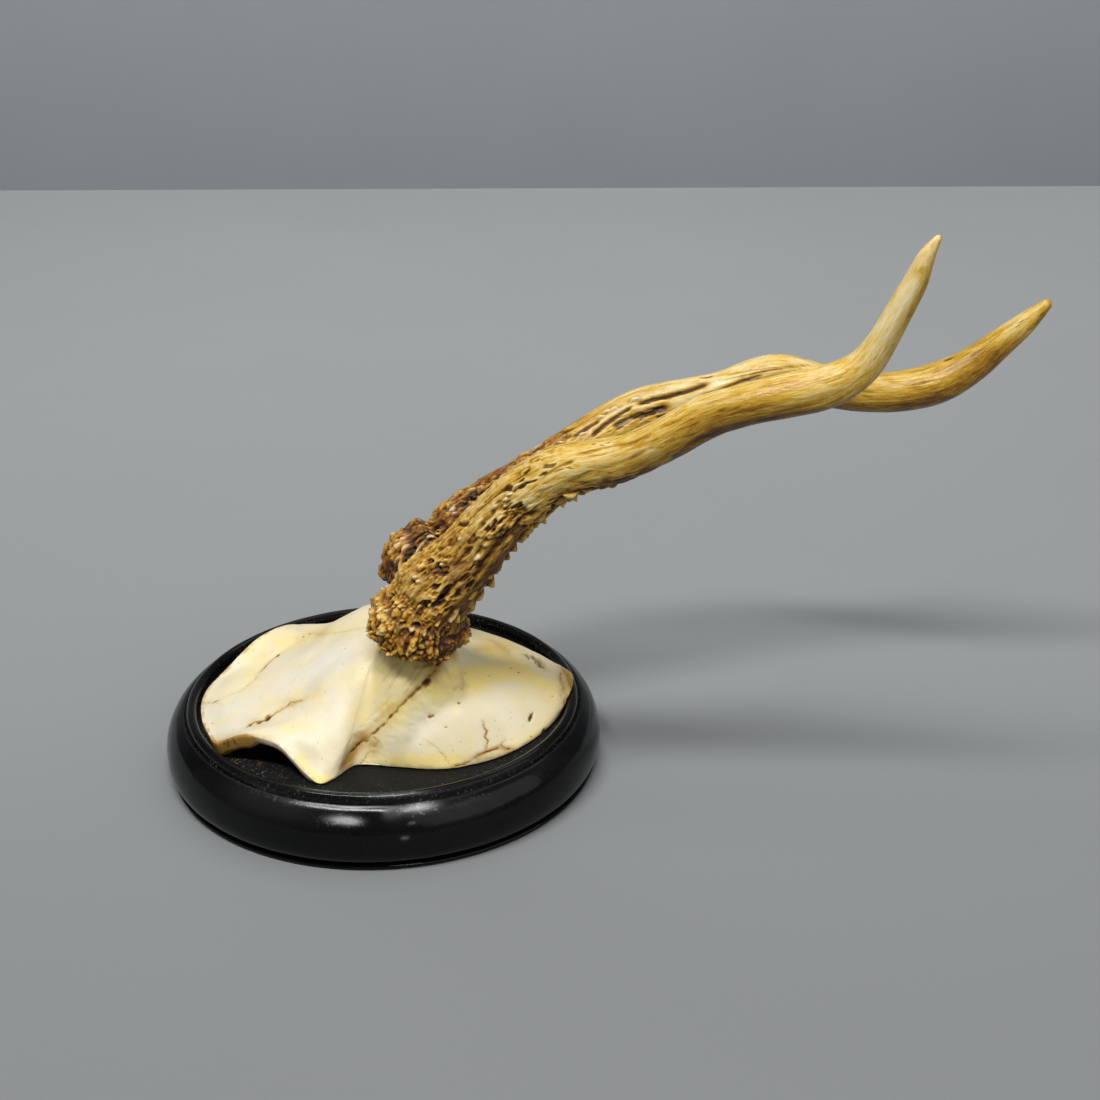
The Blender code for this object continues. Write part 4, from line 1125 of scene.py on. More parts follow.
def antler_path(stations, side):
    """Evenly parametrised axis of an antler with its half thickness."""
    n = burr_axis(side)
    middle = np.array(stations[0][:3])
    low = middle - n * BURR_BELOW
    path = np.vstack([low, middle] + [s[:3] for s in stations[1:]])
    curve = catmull(path, 1600)
    run = run_of(curve)
    smooth = np.stack([soften(curve[:, k], 14) for k in range(3)], 1)
    keep = smooth01((run - 6) / 14)[:, None] * smooth01((run[-1] - run) / 6)[:, None]
    curve = curve * (1 - keep) + smooth * keep
    run = run_of(curve)
    at, size = [0.0, 0.6, 2.4, BURR_BELOW, 6.6, 8.6], [9.4, 12.4, 13.6, 13.9, 13.0, 11.9]
    for s in stations[1:]:
        i = np.argmin(np.linalg.norm(curve - np.array(s[:3]), axis=1))
        at.append(run[i])
        size.append(s[3])
    radius = np.interp(run, at, size)
    blur = soften(radius, 18)
    keep = smooth01((run - 12) / 6) * smooth01((run[-1] - run) / 8)
    radius = radius * (1 - keep) + blur * keep
    return run, curve, radius, n


def antler_grid(stations, side, rows_at, cols, turn):
    run, curve, radius, n = antler_path(stations, side)
    s = np.minimum(rows_at, run[-1])
    centre = np.stack([np.interp(s, run, curve[:, k]) for k in range(3)], 1)
    r = np.interp(s, run, radius)
    fine = np.gradient(curve, run, axis=0)
    tangent = np.stack([np.interp(s, run, soften(fine[:, k], 12)) for k in range(3)], 1)
    start = smooth01((s - 1.0) / turn)[:, None]
    tangent = n * (1 - start) + tangent * start
    tangent /= np.linalg.norm(tangent, axis=1)[:, None]
    across = np.cross(tangent[0], (0.0, 1.0, 0.0))
    frames = []
    for t in tangent:
        across = across - t * np.dot(across, t)
        across /= np.linalg.norm(across)
        frames.append((across.copy(), np.cross(t, across)))
    a = np.array([f[0] for f in frames])
    b = np.array([f[1] for f in frames])
    theta = np.linspace(0, 2 * np.pi, cols, endpoint=False)
    ring = np.cos(theta)[None, :, None] * a[:, None] + np.sin(theta)[None, :, None] * b[:, None]
    return s, centre, r, tangent, ring, theta


def add_bumps(push, along, s, theta, r, bumps, warp, keep=0.35):
    """Pearls and knobs: each is s, theta, half length, half width, height, sharpness."""
    rows, cols = push.shape
    for bs, bt, long, wide, high, sharp in bumps:
        i0, i1 = np.searchsorted(s, [bs - long * 1.6 - 1, bs + long * 1.6 + 1])
        i0, i1 = max(i0, 0), min(i1, rows)
        if i1 <= i0:
            continue
        k = min(int(np.searchsorted(s, bs)), rows - 1)
        m = int(round(bt / (2 * np.pi) * cols)) % cols
        rr = r[i0:i1][:, None]
        dt = (theta[None] - bt + np.pi) % (2 * np.pi) - np.pi
        ds = along[i0:i1] - along[k, m] + warp[1][i0:i1]
        reach = np.where(ds > 0, long * 1.5, long * 0.7)      # steep end towards the burr
        q2 = (ds / reach) ** 2 + ((dt * rr + warp[0][i0:i1]) / wide) ** 2
        bump = high * np.clip(1 - q2, 0, 1) ** sharp
        window = push[i0:i1]
        push[i0:i1] = np.where(bump > 0, np.maximum(window, window * keep + bump), window)


def skin_place(tree, cols, flat, u, v):
    """Row and column of the skin where a picture point falls."""
    hit = ray_hits(tree, [(u, v)])
    if not len(hit):
        return None
    k = int(np.argmin(((flat - hit[0]) ** 2).sum(1)))
    return k // cols, k % cols


def make_antler(name, stations, side, mat, seed, spec):
    run, _, _, _ = antler_path(stations, side)
    length = run[-1]
    rows_at = np.r_[np.linspace(0, 14, 72, endpoint=False),
                    np.linspace(14, 84, 222, endpoint=False),
                    np.linspace(84, length, 90)]
    cols = 256
    s, centre, r, tangent, ring, theta = antler_grid(stations, side, rows_at, cols, spec["turn"])
    rows = len(s)
    shape = (rows, cols)
    S = s[:, None] * np.ones(cols)
    T = np.ones(rows)[:, None] * theta
    R = r[:, None] * np.ones(cols)
    plain = centre[:, None] + ring * R[..., None]
    flat = plain.reshape(-1, 3)
    tree = grid_tree(plain)
    # true length along the skin, which bends more on one side than the other
    along = np.vstack([np.zeros(cols), np.cumsum(np.linalg.norm(np.diff(plain, axis=0), axis=2), 0)])
    # seamless coordinates on the skin: round the beam and along it
    skin = np.stack([R * np.cos(T), R * np.sin(T), along], -1).reshape(-1, 3)

    def wave(across, long, k, octaves=1, bend=0.0):
        q = skin / (across, across, long)
        if bend:
            q = q + bend * noise(skin / 7.0, seed + 90 + k)[:, None]
        return (fbm(q, octaves, seed + k) if octaves > 1 else noise(q, seed + k)).reshape(shape)

    def plates(size, k, bend=0.5):
        q = flat + bend * np.stack([noise(flat / 2.2, seed + k + m) for m in range(3)], 1)
        near, nxt = cells(q / size, seed + k)
        return near.reshape(shape), nxt.reshape(shape)

    rough = 1 - smooth01((S - spec["rough_end"]) / spec["rough_fade"])
    under = smooth01(np.cos(T - math.pi) * 0.9 + 0.15)
    rough = np.maximum(rough, (1 - smooth01((S - spec["under_end"]) / 25.0)) * under * 0.8)
    if "face_end" in spec:
        face = smooth01(np.cos(T - spec["face"]) * 1.2 - 0.1)
        rough = np.maximum(rough, (1 - smooth01((S - spec["face_end"]) / 14.0)) * face * 0.1)
    tip = smooth01((length - S) / 10.0)
    burr_zone = 1 - smooth01((S - 8.0) / 7.0)
    beam = 1 - burr_zone

    # plateaus broken by long sunk hollows, thin grooves and small nicks
    patches = smooth01(0.40 + 1.5 * wave(5.5, 11.0, 3, 2))
    ridge = wave(2.7, 13.0, 4, 2, 0.5)
    hollow = smooth01((wave(1.9, 5.2, 6, 2, 0.8) - 0.12) / 0.20)
    groove = smooth01((wave(0.75, 4.4, 5, 1, 0.7) - 0.18) / 0.22)
    nick = smooth01((wave(0.85, 1.7, 7, 1, 0.3) - 0.22) / 0.22)
    crag = 1 - 2.4 * np.abs(wave(2.4, 3.6, 15, 2, 0.8))
    lump = wave(5.0, 9.0, 8, 3)
    cobble = wave(0.9, 1.5, 9, 2)
    stria = wave(0.42, 4.0, 10)
    stria2 = wave(0.8, 9.0, 11)
    push = np.zeros(shape)
    push += rough * beam * (0.10 + 0.60 * lump + 0.30 * ridge + (0.05 + 0.50 * patches) * crag
                            - (0.10 + 0.95 * patches) * hollow
                            - (0.10 + 0.26 * patches) * groove - (0.20 + 0.45 * patches) * nick
                            + (0.10 + 0.26 * patches) * cobble + 0.13 * stria)
    push += (1 - rough) * tip * (0.22 * wave(3.2, 30.0, 12) + 0.10 * lump
                                 - 0.07 * groove * (1 - smooth01((S - 100) / 40))
                                 + 0.035 * stria + 0.05 * stria2)

    rng = np.random.default_rng(seed)
    warp = (0.40 * wave(1.6, 2.0, 13), 0.40 * wave(1.8, 2.2, 14))
    bumps = []
    for _ in range(spec["pearls"]):
        bs = 12 + (spec["rough_end"] + spec["rough_fade"] * 0.7 - 12) * rng.random() ** 1.1
        bt = rng.random() * 2 * np.pi
        fade = 1 - smooth01((bs - spec["rough_end"]) / spec["rough_fade"]) * 0.8
        wide = rng.uniform(0.40, 0.90)
        bumps.append((bs, bt, wide * rng.uniform(1.3, 2.8), wide, rng.uniform(0.20, 0.60) * fade,
                      rng.uniform(0.7, 1.2)))
    for _ in range(spec["teeth"]):
        bs = 10 + (spec["under_end"] - 10) * rng.random() ** 1.3
        bt = math.pi + rng.normal(0, 0.6)
        wide = rng.uniform(0.6, 1.25)
        bumps.append((bs, bt, wide * rng.uniform(1.0, 1.7), wide, rng.uniform(0.6, 1.7), rng.uniform(0.8, 1.2)))
    add_bumps(push, along, s, theta, r, bumps, warp, 0.6)

    # burr: a crowded rim of petals and nodules round a sunk, pearly moat
    def crowd(across, long, k, bend):
        q = skin / (across, across, long)
        q = q + bend * np.stack([noise(skin / 2.4, seed + k + m) for m in range(3)], 1)
        near, nxt = cells(q, seed + k)
        near, nxt = near.reshape(shape), nxt.reshape(shape)
        return np.clip(1 - (near / 0.80) ** 2, 0, 1) ** 0.7 * (0.15 + 0.85 * smooth01((nxt - near) / 0.26))

    petal = crowd(3.5, 7.0, 110, 0.65)
    nodule = crowd(1.55, 1.9, 120, 0.50)
    pebble = crowd(2.3, 2.8, 130, 0.30)
    mass = smooth01(0.50 + 1.4 * wave(3.6, 3.2, 19))
    rim = smooth01(S / 0.8) * (1 - smooth01((S - 6.6) / 1.8))
    left = smooth01(np.cos(T) * 1.1)
    moat = smooth01((S - 6.4) / 1.8) * (1 - smooth01((S - spec["moat_end"]) / 6.0))
    crown = moat * (1 - 0.45 * smooth01(-np.cos(T)))
    ripple = wave(7.0, 6.0, 17)
    push += rim * (spec["rim_in"] + spec["lobe"] * left - 1.05 + (0.7 + 1.1 * mass) * petal + (0.25 + 0.75 * mass) * nodule
                   + 0.26 * cobble + 0.16 * stria + 0.8 * ripple)
    push += crown * (-0.5 - spec["hollow"] * left + 1.1 * pebble * smooth01(0.25 + 1.3 * wave(4.0, 4.0, 18))
                     + 0.30 * nodule + 0.30 * cobble + 0.5 * lump)

    # the larger pits, furrows and pearls that the picture shows
    white = np.zeros(shape)
    dark = np.zeros(shape)

    def reach(u, v, long, wide, bent):
        at = skin_place(tree, cols, flat, u, v)
        if at is None:
            return None
        i, j = at
        dt = (T - theta[j] + np.pi) % (2 * np.pi) - np.pi
        far = (np.abs(S - s[i]) > max(14.0, 2.5 * long))
        q = np.sqrt(((along - along[i, j] + bent * warp[1]) / long) ** 2
                    + ((dt * R + bent * warp[0]) / wide) ** 2)
        return np.where(far, 99.0, q)

    for u, v, long, wide, deep, black in spec["pits"]:
        q = reach(u, v, long, wide, 1.2)
        if q is None:
            continue
        q = q * (1 + 0.5 * cobble + 0.35 * stria)
        push -= 0.65 * deep * smooth01((1.25 - q) / 0.7)
        dark = np.maximum(dark, 0.80 * black * smooth01((1.1 - q) / 0.6))
    for u, v, long, wide, high, pale in spec["knobs"]:
        q = reach(u, v, long, wide, 0.8)
        if q is None:
            continue
        q = q * (1 + 0.55 * cobble + 0.30 * stria)
        rise = smooth01((1.15 - q) / 0.9)
        push = np.where(rise > 0, np.maximum(push, push * 0.5 + high * rise), push)
        white = np.maximum(white, pale * smooth01((1.0 - q) / 0.5) * (0.55 + 0.45 * smooth01(0.5 + 3.0 * stria)))
        dark *= 1 - 0.9 * smooth01((1.1 - q) / 0.4)
    for pixels, half, deep, black in spec["lines"]:
        line = ray_hits(tree, pixels, 2.5)
        if len(line) < 2:
            continue
        d, t = line_distance(flat, line)
        d = np.abs(d.reshape(shape) + 0.20 * half * cobble)
        ends = smooth01(np.minimum(t, 1 - t) / 0.15).reshape(shape)
        groove = np.exp(-(d / half) ** 2) * (0.15 + 0.85 * ends)
        push -= deep * groove
        if black > 0:
            dark = np.maximum(dark, black * np.exp(-(d / (half * 0.55)) ** 2) * ends)

    place = centre[:, None] + ring * (R + push)[..., None]
    # the burr's rim stands up round the moat and droops over the stump
    raised = spec["rim_stretch"] * (S - 4.0) * smooth01((S - 0.1) / 0.6) * (1 - smooth01((S - 8.0) / 5.0))
    place = place + burr_axis(side) * raised[..., None]
    wide_mean = soften(soften(push, 8, 0), 8, 1, wrap=True)
    tight_mean = soften(soften(push, 2.2, 0), 2.2, 1, wrap=True)
    full = np.maximum(rough, burr_zone)
    amount = np.maximum(0.36, 0.85 * full)
    above = push - wide_mean
    calm = 1 - 0.28 * burr_zone
    height = (0.51 - 0.03 * burr_zone + 0.36 * calm * np.tanh(above / amount)
              + 0.16 * np.tanh((push - tight_mean) / (amount * 0.25)))
    height = np.clip(height, 0, 1)
    # darker and paler tone: painted shading on the undersides, painted highlight on upper crests and tips, random
    # staining and the listed spots
    stain_and_painted_light = spec["tone"](S, T, length) + 0.45 * wave(7.0, 18.0, 20, 3) * full + 0.25 * wave(5.0, 30.0, 21, 2)
    ruddy = spec["ruddy"](S, T)
    for u, v, long, wide, darker, redder in spec["tone_spots"]:
        q = reach(u, v, long, wide, 1.5)
        if q is None:
            continue
        spot = np.exp(-q ** 2) * (0.7 + 0.6 * lump)
        stain_and_painted_light = stain_and_painted_light + darker * spot
        ruddy = ruddy + redder * spot
    flags = wave(2.4, 2.8, 22)
    white = np.maximum(white, smooth01((above / np.maximum(amount, 0.3) - 0.75) / 0.6)
                       * smooth01((flags - 0.38) / 0.3) * full * spec["white"] * (1 - 0.55 * burr_zone))
    deep_dark = 0.70 - 0.30 * burr_zone
    dark = np.maximum(dark, smooth01((-above / np.maximum(amount, 0.3) - 0.85) / 0.7) * full * deep_dark)
    dark = np.maximum(dark, crown * left * 0.36 * smooth01((-above / 0.8 - 0.3) / 0.8))
    flow = np.stack([R * np.cos(T) * 0.62, R * np.sin(T) * 0.62, along * 0.055 + 0.35 * wave(8.0, 12.0, 25)], -1)
    obj = grid_mesh(name, place, None, centre[-1] + tangent[-1] * r[-1] * 0.8, {
        "height": height, "stain_and_painted_light": np.clip(stain_and_painted_light, -1, 1.5), "rough": np.clip(full * (0.55 + 0.45 * np.maximum(patches, burr_zone)), 0, 1),
        "ruddy": np.clip(ruddy, 0, 1),
        "white": np.clip(white, 0, 1), "dark": np.clip(dark, 0, 1), "grain": flow})
    obj.data.materials.append(mat)
    return obj


def near_tone(S, T, length):
    """Near antler's tone: its underside darker, most of all low down and along the middle of the beam, as painted
    shading over brown stain; its tip paler, its own polish with a painted highlight.
    """
    below = smooth01(np.cos(T - math.pi) * 0.9 + 0.25)
    low = 1 - smooth01((S - 20) / 50)
    mid = smooth01((S - 66) / 14) * (1 - smooth01((S - length + 62) / 24))
    return (1.0 * below * (0.75 + 0.25 * low) + 0.45 * mid * below - 0.05
            - 0.55 * smooth01((S - length + 56) / 34))


# Far antler's tone: darker all over and most low down, where it is stained; its underside darker as painted shading;
# its upper crest and tip paler, their own polish with a painted highlight
def far_tone(S, T, length):
    below = smooth01(np.cos(T - math.pi) * 0.9 + 0.25)
    low = 1 - smooth01((S - 20) / 55)
    crest = smooth01(np.cos(T) * 1.2 - 0.1) * smooth01((S - 62) / 20) * (1 - smooth01((S - 125) / 15))
    return 0.60 * below + 0.45 * low + 0.30 - 0.70 * crest - 0.50 * smooth01((S - length + 26) / 20)


def near_ruddy(S, T):
    return 0.36 * (1 - smooth01((S - 22) / 30)) + 0.08


def far_ruddy(S, T):
    return (0.80 * (1 - smooth01((S - 40) / 30)) + 0.20) * (0.40 + 0.60 * smooth01((S - 10) / 8))


# places on the picture: half length along the beam and half width in mm,
# depth, blackness
NEAR_PITS = (
    (435, 587, 1.1, 0.9, 1.3, 1.0), (446, 593, 2.2, 0.7, 1.2, 1.0), (440, 599, 1.2, 0.6, 1.0, 0.9),
    (449, 587, 1.0, 0.5, 0.8, 0.8), (487, 529, 1.0, 0.8, 0.9, 0.9), (494, 523, 1.3, 0.5, 0.7, 0.8),
    (502, 521, 1.2, 0.4, 0.6, 0.8), (483, 524, 0.9, 0.5, 0.7, 0.8), (507, 503, 1.0, 0.6, 0.6, 0.7),
    (508, 489, 1.8, 0.6, 0.8, 1.0), (519, 487, 1.8, 0.7, 0.9, 1.0), (513, 492, 1.2, 0.5, 0.7, 0.9),
    (498, 501, 0.9, 0.5, 0.5, 0.5), (494, 512, 0.9, 0.5, 0.5, 0.5), (472, 541, 1.4, 0.8, 0.6, 0.45),
    (478, 551, 1.6, 0.6, 0.6, 0.5), (440, 568, 0.9, 0.6, 0.9, 0.9), (483, 563, 2.4, 0.7, 0.9, 0.7),
    (399, 628, 0.9, 0.7, 1.2, 0.95), (415, 628, 1.1, 0.8, 1.2, 1.0), (428, 632, 0.9, 0.7, 1.0, 0.95),
    (422, 642, 0.7, 0.6, 0.9, 0.85), (446, 638, 1.0, 0.9, 1.2, 1.0), (443, 632, 0.8, 0.5, 1.0, 0.9),
    (385, 600, 2.4, 0.9, 1.8, 1.0), (387, 607, 1.2, 0.9, 1.5, 1.0), (389, 594, 1.4, 0.7, 1.0, 0.9),
    (422, 603, 1.6, 0.6, 0.9, 0.7), (425, 607, 0.8, 0.5, 0.7, 0.6), (467, 553, 1.5, 0.6, 0.6, 0.5),
    (530, 482, 1.6, 0.5, 0.6, 0.8), (541, 474, 1.6, 0.5, 0.5, 0.7), (548, 466, 1.8, 0.4, 0.4, 0.7),
    (527, 472, 1.6, 0.4, 0.5, 0.6), (521, 480, 1.4, 0.4, 0.5, 0.7), (560, 470, 1.6, 0.4, 0.3, 0.5),
    (456, 567, 1.2, 0.5, 0.5, 0.45), (500, 540, 1.6, 0.6, 0.6, 0.5), (464, 578, 2.0, 0.7, 0.9, 0.8),
    (470, 585, 2.0, 0.8, 1.0, 0.9), (478, 573, 2.2, 0.8, 1.0, 0.8), (457, 594, 1.8, 0.7, 0.9, 0.8),
    (594, 443, 0.5, 0.3, 0.2, 0.8), (600, 445, 0.6, 0.3, 0.2, 0.9), (607, 441, 0.5, 0.25, 0.2, 0.7),
    (626, 433, 0.5, 0.25, 0.2, 0.6), (653, 447, 0.3, 0.5, 0.15, 0.7), (588, 441, 0.5, 0.25, 0.2, 0.7),
)
NEAR_KNOBS = (
    (453, 615, 2.0, 0.8, 1.3, 0.35), (441, 565, 0.8, 0.6, 0.8, 0.9), (416, 577, 0.8, 0.6, 0.9, 0.6),
    (418, 582, 0.8, 0.6, 0.8, 0.7), (477, 558, 0.8, 0.6, 0.9, 0.45), (449, 527, 0.9, 0.9, 0.8, 0.7),
    (460, 539, 0.9, 0.5, 0.6, 0.4), (515, 486, 1.6, 0.5, 0.7, 0.7), (510, 495, 1.2, 0.5, 0.7, 0.7),
    (505, 499, 0.8, 0.5, 0.5, 0.5), (380, 611, 0.6, 0.6, 0.8, 0.7), (384, 613, 0.6, 0.6, 0.8, 0.8),
    (412, 632, 0.6, 0.6, 0.8, 0.7), (424, 636, 0.6, 0.5, 0.8, 0.7), (398, 609, 0.6, 0.6, 0.7, 0.4),
    (478, 601, 1.2, 1.2, 2.0, 0.1), (497, 579, 1.1, 1.1, 1.9, 0.2), (486, 588, 1.0, 1.0, 1.8, 0.0),
    (514, 551, 1.0, 1.0, 1.4, 0.2), (540, 526, 1.0, 0.9, 1.3, 0.1), (569, 500, 1.4, 0.9, 0.8, 0.1),
    (601, 489, 1.5, 0.9, 0.8, 0.2), (520, 541, 0.9, 0.9, 1.2, 0.0),
)
NEAR_LINES = (
    (((404, 610), (412, 603), (420, 592), (430, 580), (444, 566)), 0.9, 0.45, 0.35),
    (((430, 612), (436, 604), (444, 598), (452, 588), (460, 578)), 0.8, 0.7, 0.65),
    (((452, 556), (470, 538), (488, 518), (505, 499)), 0.6, 0.35, 0.35),
    (((462, 528), (478, 511), (494, 497), (510, 485)), 0.5, 0.40, 0.45),
    (((485, 548), (500, 531), (515, 516), (530, 505)), 0.8, 0.45, 0.30),
    (((476, 572), (488, 556), (502, 541), (518, 524), (532, 511)), 1.2, 0.9, 0.55),
    (((560, 487), (590, 474), (620, 463), (650, 451)), 0.8, 0.22, 0.0),
    (((575, 455), (600, 448), (630, 443), (655, 433)), 0.5, 0.20, 0.30),
    (((540, 478), (556, 468), (575, 461)), 0.5, 0.3, 0.35),
)
FAR_PITS = (
    (432, 540, 2.6, 1.1, 1.6, 1.0), (436, 523, 2.6, 0.9, 1.4, 1.0), (462, 504, 2.4, 0.8, 1.2, 0.85),
    (469, 498, 1.6, 0.7, 1.0, 0.8), (455, 500, 1.4, 0.6, 0.9, 0.8), (433, 528, 1.6, 0.7, 1.0, 0.9),
    (403, 538, 1.6, 1.0, 1.5, 1.0), (405, 562, 2.4, 1.6, 2.2, 1.0), (409, 552, 1.8, 1.0, 1.6, 1.0),
    (398, 545, 1.2, 0.7, 1.2, 0.9), (394, 571, 1.2, 0.9, 1.4, 0.9), (400, 573, 1.0, 0.8, 1.2, 0.9),
    (415, 548, 1.6, 0.7, 1.2, 0.9), (444, 530, 1.2, 0.6, 0.9, 0.8), (392, 538, 0.8, 0.6, 0.9, 0.8),
    (650, 414, 1.8, 0.7, 0.6, 0.7), (642, 417, 1.4, 0.6, 0.5, 0.6), (660, 410, 1.6, 0.5, 0.5, 0.5),
    (708, 377, 1.4, 0.6, 0.4, 0.7), (697, 381, 1.2, 0.5, 0.3, 0.5), (761, 367, 0.5, 0.35, 0.2, 0.7),
    (951, 358, 1.2, 0.5, 0.3, 0.8), (1016, 326, 0.8, 0.25, 0.15, 0.6), (1022, 321, 0.8, 0.25, 0.15, 0.6),
)
FAR_KNOBS = (
    (396, 553, 1.2, 0.6, 1.0, 0.80), (399, 549, 0.7, 0.5, 0.8, 0.65), (402, 556, 0.8, 0.5, 0.8, 0.70),
    (396, 563, 0.7, 0.5, 0.8, 0.65), (399, 567, 0.6, 0.5, 0.7, 0.50), (401, 548, 0.5, 0.4, 0.7, 0.60),
    (391, 543, 0.7, 0.5, 0.7, 0.35), (395, 535, 0.7, 0.5, 0.7, 0.35), (388, 551, 0.7, 0.5, 0.7, 0.30),
    (453, 510, 1.3, 0.6, 1.1, 0.75), (455, 514, 0.8, 0.5, 0.9, 0.60), (430, 536, 1.0, 0.5, 1.0, 0.8),
    (437, 533, 0.8, 0.5, 0.8, 0.7), (428, 550, 0.8, 0.6, 0.9, 0.8), (418, 558, 1.6, 0.5, 0.8, 0.4),
    (636, 399, 1.3, 0.6, 0.8, 0.45), (601, 417, 0.9, 0.6, 0.7, 0.45), (607, 411, 1.2, 0.5, 0.6, 0.5),
    (560, 442, 0.9, 0.6, 0.6, 0.6), (582, 433, 0.9, 0.5, 0.5, 0.4), (615, 408, 1.6, 0.5, 0.6, 0.5),
    (470, 491, 1.2, 0.8, 0.8, 0.4), (481, 488, 1.2, 0.7, 0.6, 0.3),
)
FAR_LINES = (
    (((634, 405), (650, 399), (670, 395), (690, 389), (712, 382)), 0.85, 1.1, 0.95),
    (((590, 437), (604, 425), (618, 415), (634, 405)), 0.7, 0.8, 0.70),
    (((572, 437), (586, 428), (600, 420)), 0.6, 0.5, 0.55),
    (((610, 428), (630, 418), (650, 412), (672, 406)), 1.4, 0.9, 0.40),
    (((700, 398), (720, 390), (742, 381), (765, 374)), 0.7, 0.45, 0.40),
    (((712, 382), (735, 377), (760, 372), (790, 367), (818, 364)), 0.35, 0.16, 0.40),
    (((720, 376), (745, 371), (770, 368), (800, 365)), 0.30, 0.14, 0.35),
    (((742, 381), (765, 378), (790, 373), (812, 368)), 0.30, 0.14, 0.35),
    (((655, 422), (675, 414), (700, 402)), 0.9, 0.8, 0.75),
)

# stained and paler places, with painted shading and painted highlight among them: half length and half width in mm,
# darker, redder
NEAR_STAINS_AND_PAINTED_LIGHT = (
    # the dark spots at (720, 414) and (720, 430), on the near beam's underside, are painted shading over brown stain;
    # the pale spot at (900, 305) on its tip is a painted highlight
    (460, 580, 12.0, 8.0, 0.40, 0.25), (720, 414, 16.0, 4.0, 0.65, 0.15), (720, 430, 16.0, 3.0, 0.45, 0.10),
    (612, 460, 12.0, 4.0, -0.25, 0.0), (900, 305, 9.0, 2.2, -0.55, 0.0), (820, 396, 10.0, 4.0, 0.12, 0.0),
    (472, 541, 5.0, 2.2, 0.35, 0.15), (455, 565, 4.0, 2.0, 0.35, 0.15), (508, 492, 6.0, 2.0, 0.30, 0.12),
    (545, 495, 14.0, 3.0, -0.25, 0.0), (505, 515, 10.0, 3.0, -0.15, 0.0), (430, 600, 5.0, 3.0, 0.25, 0.25),
    (640, 462, 12.0, 2.2, 0.25, 0.05),
)
FAR_STAINS = (
    (410, 575, 8.0, 6.0, 0.30, 0.25), (665, 392, 9.0, 2.6, 0.40, 0.10), (765, 362, 12.0, 2.6, 0.0, 0.0), (850, 376, 16.0, 2.0, -0.45, 0.0),
    (656, 414, 9.0, 2.2, 0.35, 0.35), (560, 445, 10.0, 3.0, 0.10, 0.40), (470, 505, 10.0, 4.0, 0.15, 0.40),
    (735, 392, 14.0, 2.5, -0.20, 0.0),
)

NEAR_SPEC = {
    "rough_end": 42.0, "rough_fade": 30.0, "under_end": 80.0, "pearls": 75, "teeth": 95, "white": 0.26, "turn": 9.0, "moat_end": 10.5, "rim_stretch": 0.15,
    "rim_in": 0.0, "hollow": 0.7, "lobe": 0.9,
    "tone": near_tone, "ruddy": near_ruddy, "pits": NEAR_PITS, "knobs": NEAR_KNOBS, "lines": NEAR_LINES,
    "tone_spots": NEAR_STAINS_AND_PAINTED_LIGHT,
}
FAR_SPEC = {
    "rough_end": 42.0, "rough_fade": 24.0, "under_end": 80.0, "pearls": 80, "teeth": 70, "white": 0.22, "turn": 16.0, "moat_end": 13.0, "rim_stretch": 0.95,
    "rim_in": -0.7, "hollow": 1.4, "lobe": 0.0,
    "tone": far_tone, "ruddy": far_ruddy, "pits": FAR_PITS, "knobs": FAR_KNOBS, "lines": FAR_LINES,
    "tone_spots": FAR_STAINS,
    "face": math.pi / 2, "face_end": 100.0,
}


# ---- surroundings -------------------------------------------------------------------

def plain_material(name, colour, rough, mottled):
    n = Nodes(name)
    at = n.coordinates()
    soft = n.texture(at, 6.0, 4.0, 0.6)
    fine = n.texture(at, 420.0, 3.0, 0.6)
    a = tuple(c * (1 - mottled) for c in colour)
    b = tuple(c * (1 + mottled) for c in colour)
    tint = n.ramp(n.math("ADD", n.math("MULTIPLY", soft, 0.7), n.math("MULTIPLY", fine, 0.3)),
                  ((0.3, a), (0.7, b)))
    return n.finish(tint, rough, n.bump(fine, 0.0001, 0.3), **{"Specular IOR Level": 0.25})


def plane(name, corners, mat):
    mesh = bpy.data.meshes.new(name)
    mesh.from_pydata([Vector(c) for c in corners], [], [(0, 1, 2, 3)])
    obj = bpy.data.objects.new(name, mesh)
    bpy.context.scene.collection.objects.link(obj)
    mesh.materials.append(mat)
    return obj


def area_light(name, at, aim, size, power, colour):
    data = bpy.data.lights.new(name, "AREA")
    data.shape = "RECTANGLE"
    data.size, data.size_y = size
    data.energy = power
    data.color = colour
    obj = bpy.data.objects.new(name, data)
    bpy.context.scene.collection.objects.link(obj)
    obj.location = at
    obj.rotation_euler = (Vector(aim) - Vector(at)).to_track_quat("-Z", "Y").to_euler()
    return obj


def on_table(u, v):
    """Point of the table seen at a place of the picture, in metres."""
    d = sight(u, v)
    return (CAM_AT - d * (CAM_AT[2] / d[2])) * MM


def table_material():
    """Plain grey table, painted darker towards the viewer and lighter at the back as painted light falloff."""
    n = Nodes("table_grey")
    at = n.coordinates()
    soft = n.texture(at, 6.0, 4.0, 0.6)
    fine = n.texture(at, 420.0, 3.0, 0.6)
    mottle = n.math("ADD", n.math("MULTIPLY", soft, 0.7), n.math("MULTIPLY", fine, 0.3))
    split = n.new("ShaderNodeSeparateXYZ")
    n.link(at, split.inputs[0])
    # painted light falloff: the table's colour is darkest nearest the viewer and lightest at the back
    far = n.ramp(n.span(split.outputs["Y"], -0.20, 0.60), (
        (0, (0.200, 0.212, 0.220)), (0.104, (0.226, 0.240, 0.249)), (0.2125, (0.262, 0.278, 0.288)),
        (0.335, (0.284, 0.301, 0.312)), (0.5, (0.307, 0.325, 0.338)), (0.9075, (0.380, 0.403, 0.418)),
        (1, (0.402, 0.426, 0.442))))
    tint = n.mix(n.span(mottle, 0.3, 0.7, (0.0, 0.10)), far, (0.24, 0.255, 0.265))
    return n.finish(tint, 0.62, n.bump(fine, 0.0001, 0.3), **{"Specular IOR Level": 0.25})


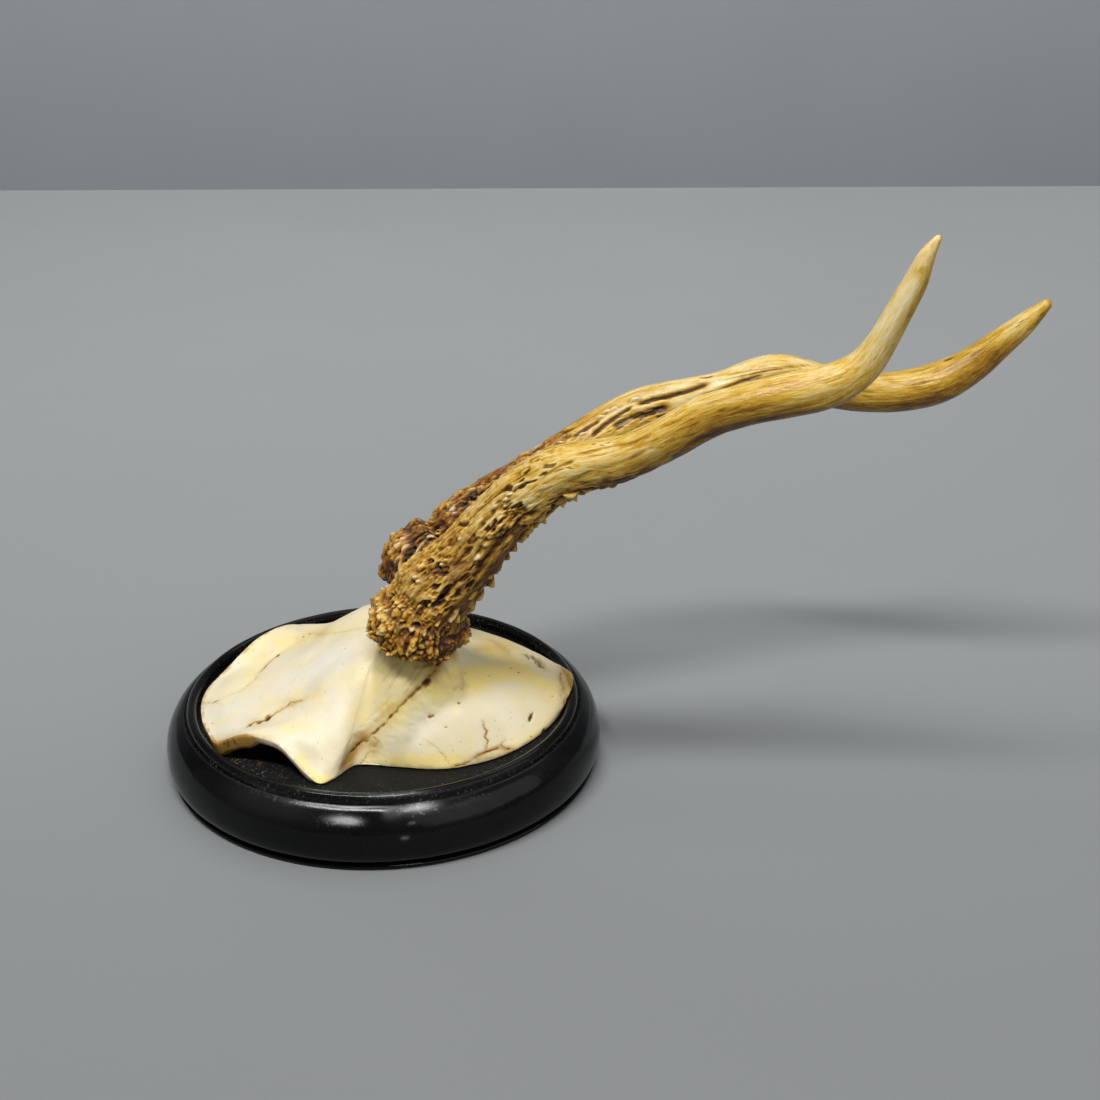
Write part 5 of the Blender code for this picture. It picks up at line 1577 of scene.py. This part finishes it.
def surroundings():
    wall = plain_material("wall_grey", (0.412, 0.438, 0.459), 0.8, 0.03)
    a, b = on_table(0, 190.5), on_table(1100, 186.0)
    ahead = (b - a) / np.linalg.norm(b - a)
    left, right = a - ahead * 2.6, b + ahead * 2.6
    plane("floor", ((-3, -3, 0), (3, -3, 0), (right[0], right[1], 0), (left[0], left[1], 0)), table_material())
    plane("backdrop", ((-4, 1.5, -1.2), (4, 1.5, -1.2), (4, 1.5, 2.5), (-4, 1.5, 2.5)), wall)
    area_light("key", (-0.15, -0.38, 1.10), (0.05, 0.16, 0.02), (0.80, 0.12), 13.4, (1.0, 0.985, 0.955))
    area_light("top", (0.16, 0.34, 1.30), (0.05, 0.0, 0.05), (1.2, 1.2), 3.4, (1.0, 0.99, 0.97))
    area_light("fill", (0.75, -0.55, 0.55), (0.03, 0.0, 0.03), (1.3, 0.8), 2.8, (1.0, 0.985, 0.96))
    area_light("rear", (0.10, 0.95, 1.45), (0.05, 0.60, 0.0), (2.2, 0.5), 2.6, (0.98, 0.99, 1.0))
    area_light("wall_wash", (0.0, 1.0, 0.35), (0.0, 1.5, -0.25), (2.6, 0.3), 2.8, (1.0, 1.0, 1.0))
    world = bpy.data.worlds.new("studio")
    bpy.context.scene.world = world
    world.use_nodes = True
    back = world.node_tree.nodes["Background"]
    back.inputs["Color"].default_value = (0.97, 0.98, 1.0, 1.0)
    back.inputs["Strength"].default_value = 0.12


def camera():
    data = bpy.data.cameras.new("view")
    data.sensor_width = 36.0
    data.lens = FOCAL_PX / PHOTO_PX * 36.0
    data.clip_start = 0.01
    data.clip_end = 20.0
    obj = bpy.data.objects.new("view", data)
    bpy.context.scene.collection.objects.link(obj)
    columns = (CAM_RIGHT, CAM_UP, -CAM_AHEAD, CAM_AT * MM)
    obj.matrix_world = Matrix(tuple(tuple(float(c[i]) for c in columns) for i in range(3))
                              + ((0.0, 0.0, 0.0, 1.0),))
    bpy.context.scene.camera = obj
    return obj


def main():
    scene = bpy.context.scene
    scene.view_settings.view_transform = "Standard"
    camera()
    surroundings()
    antler = antler_material()
    base = make_base(wood_material())
    skull = make_skull(bone_material())
    left = make_antler("near_beam", LEFT_STATIONS, -1.0, antler, 100, NEAR_SPEC)
    right = make_antler("far_beam", RIGHT_STATIONS, 1.0, antler, 500, FAR_SPEC)
    for piece, node, slot in ((base, "base", "ebonised_wood"), (skull, "skull_cap", "bone"),
                              (left, "left_antler", "antler"), (right, "right_antler", "antler")):
        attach(piece, "root")
        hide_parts(node)


main()
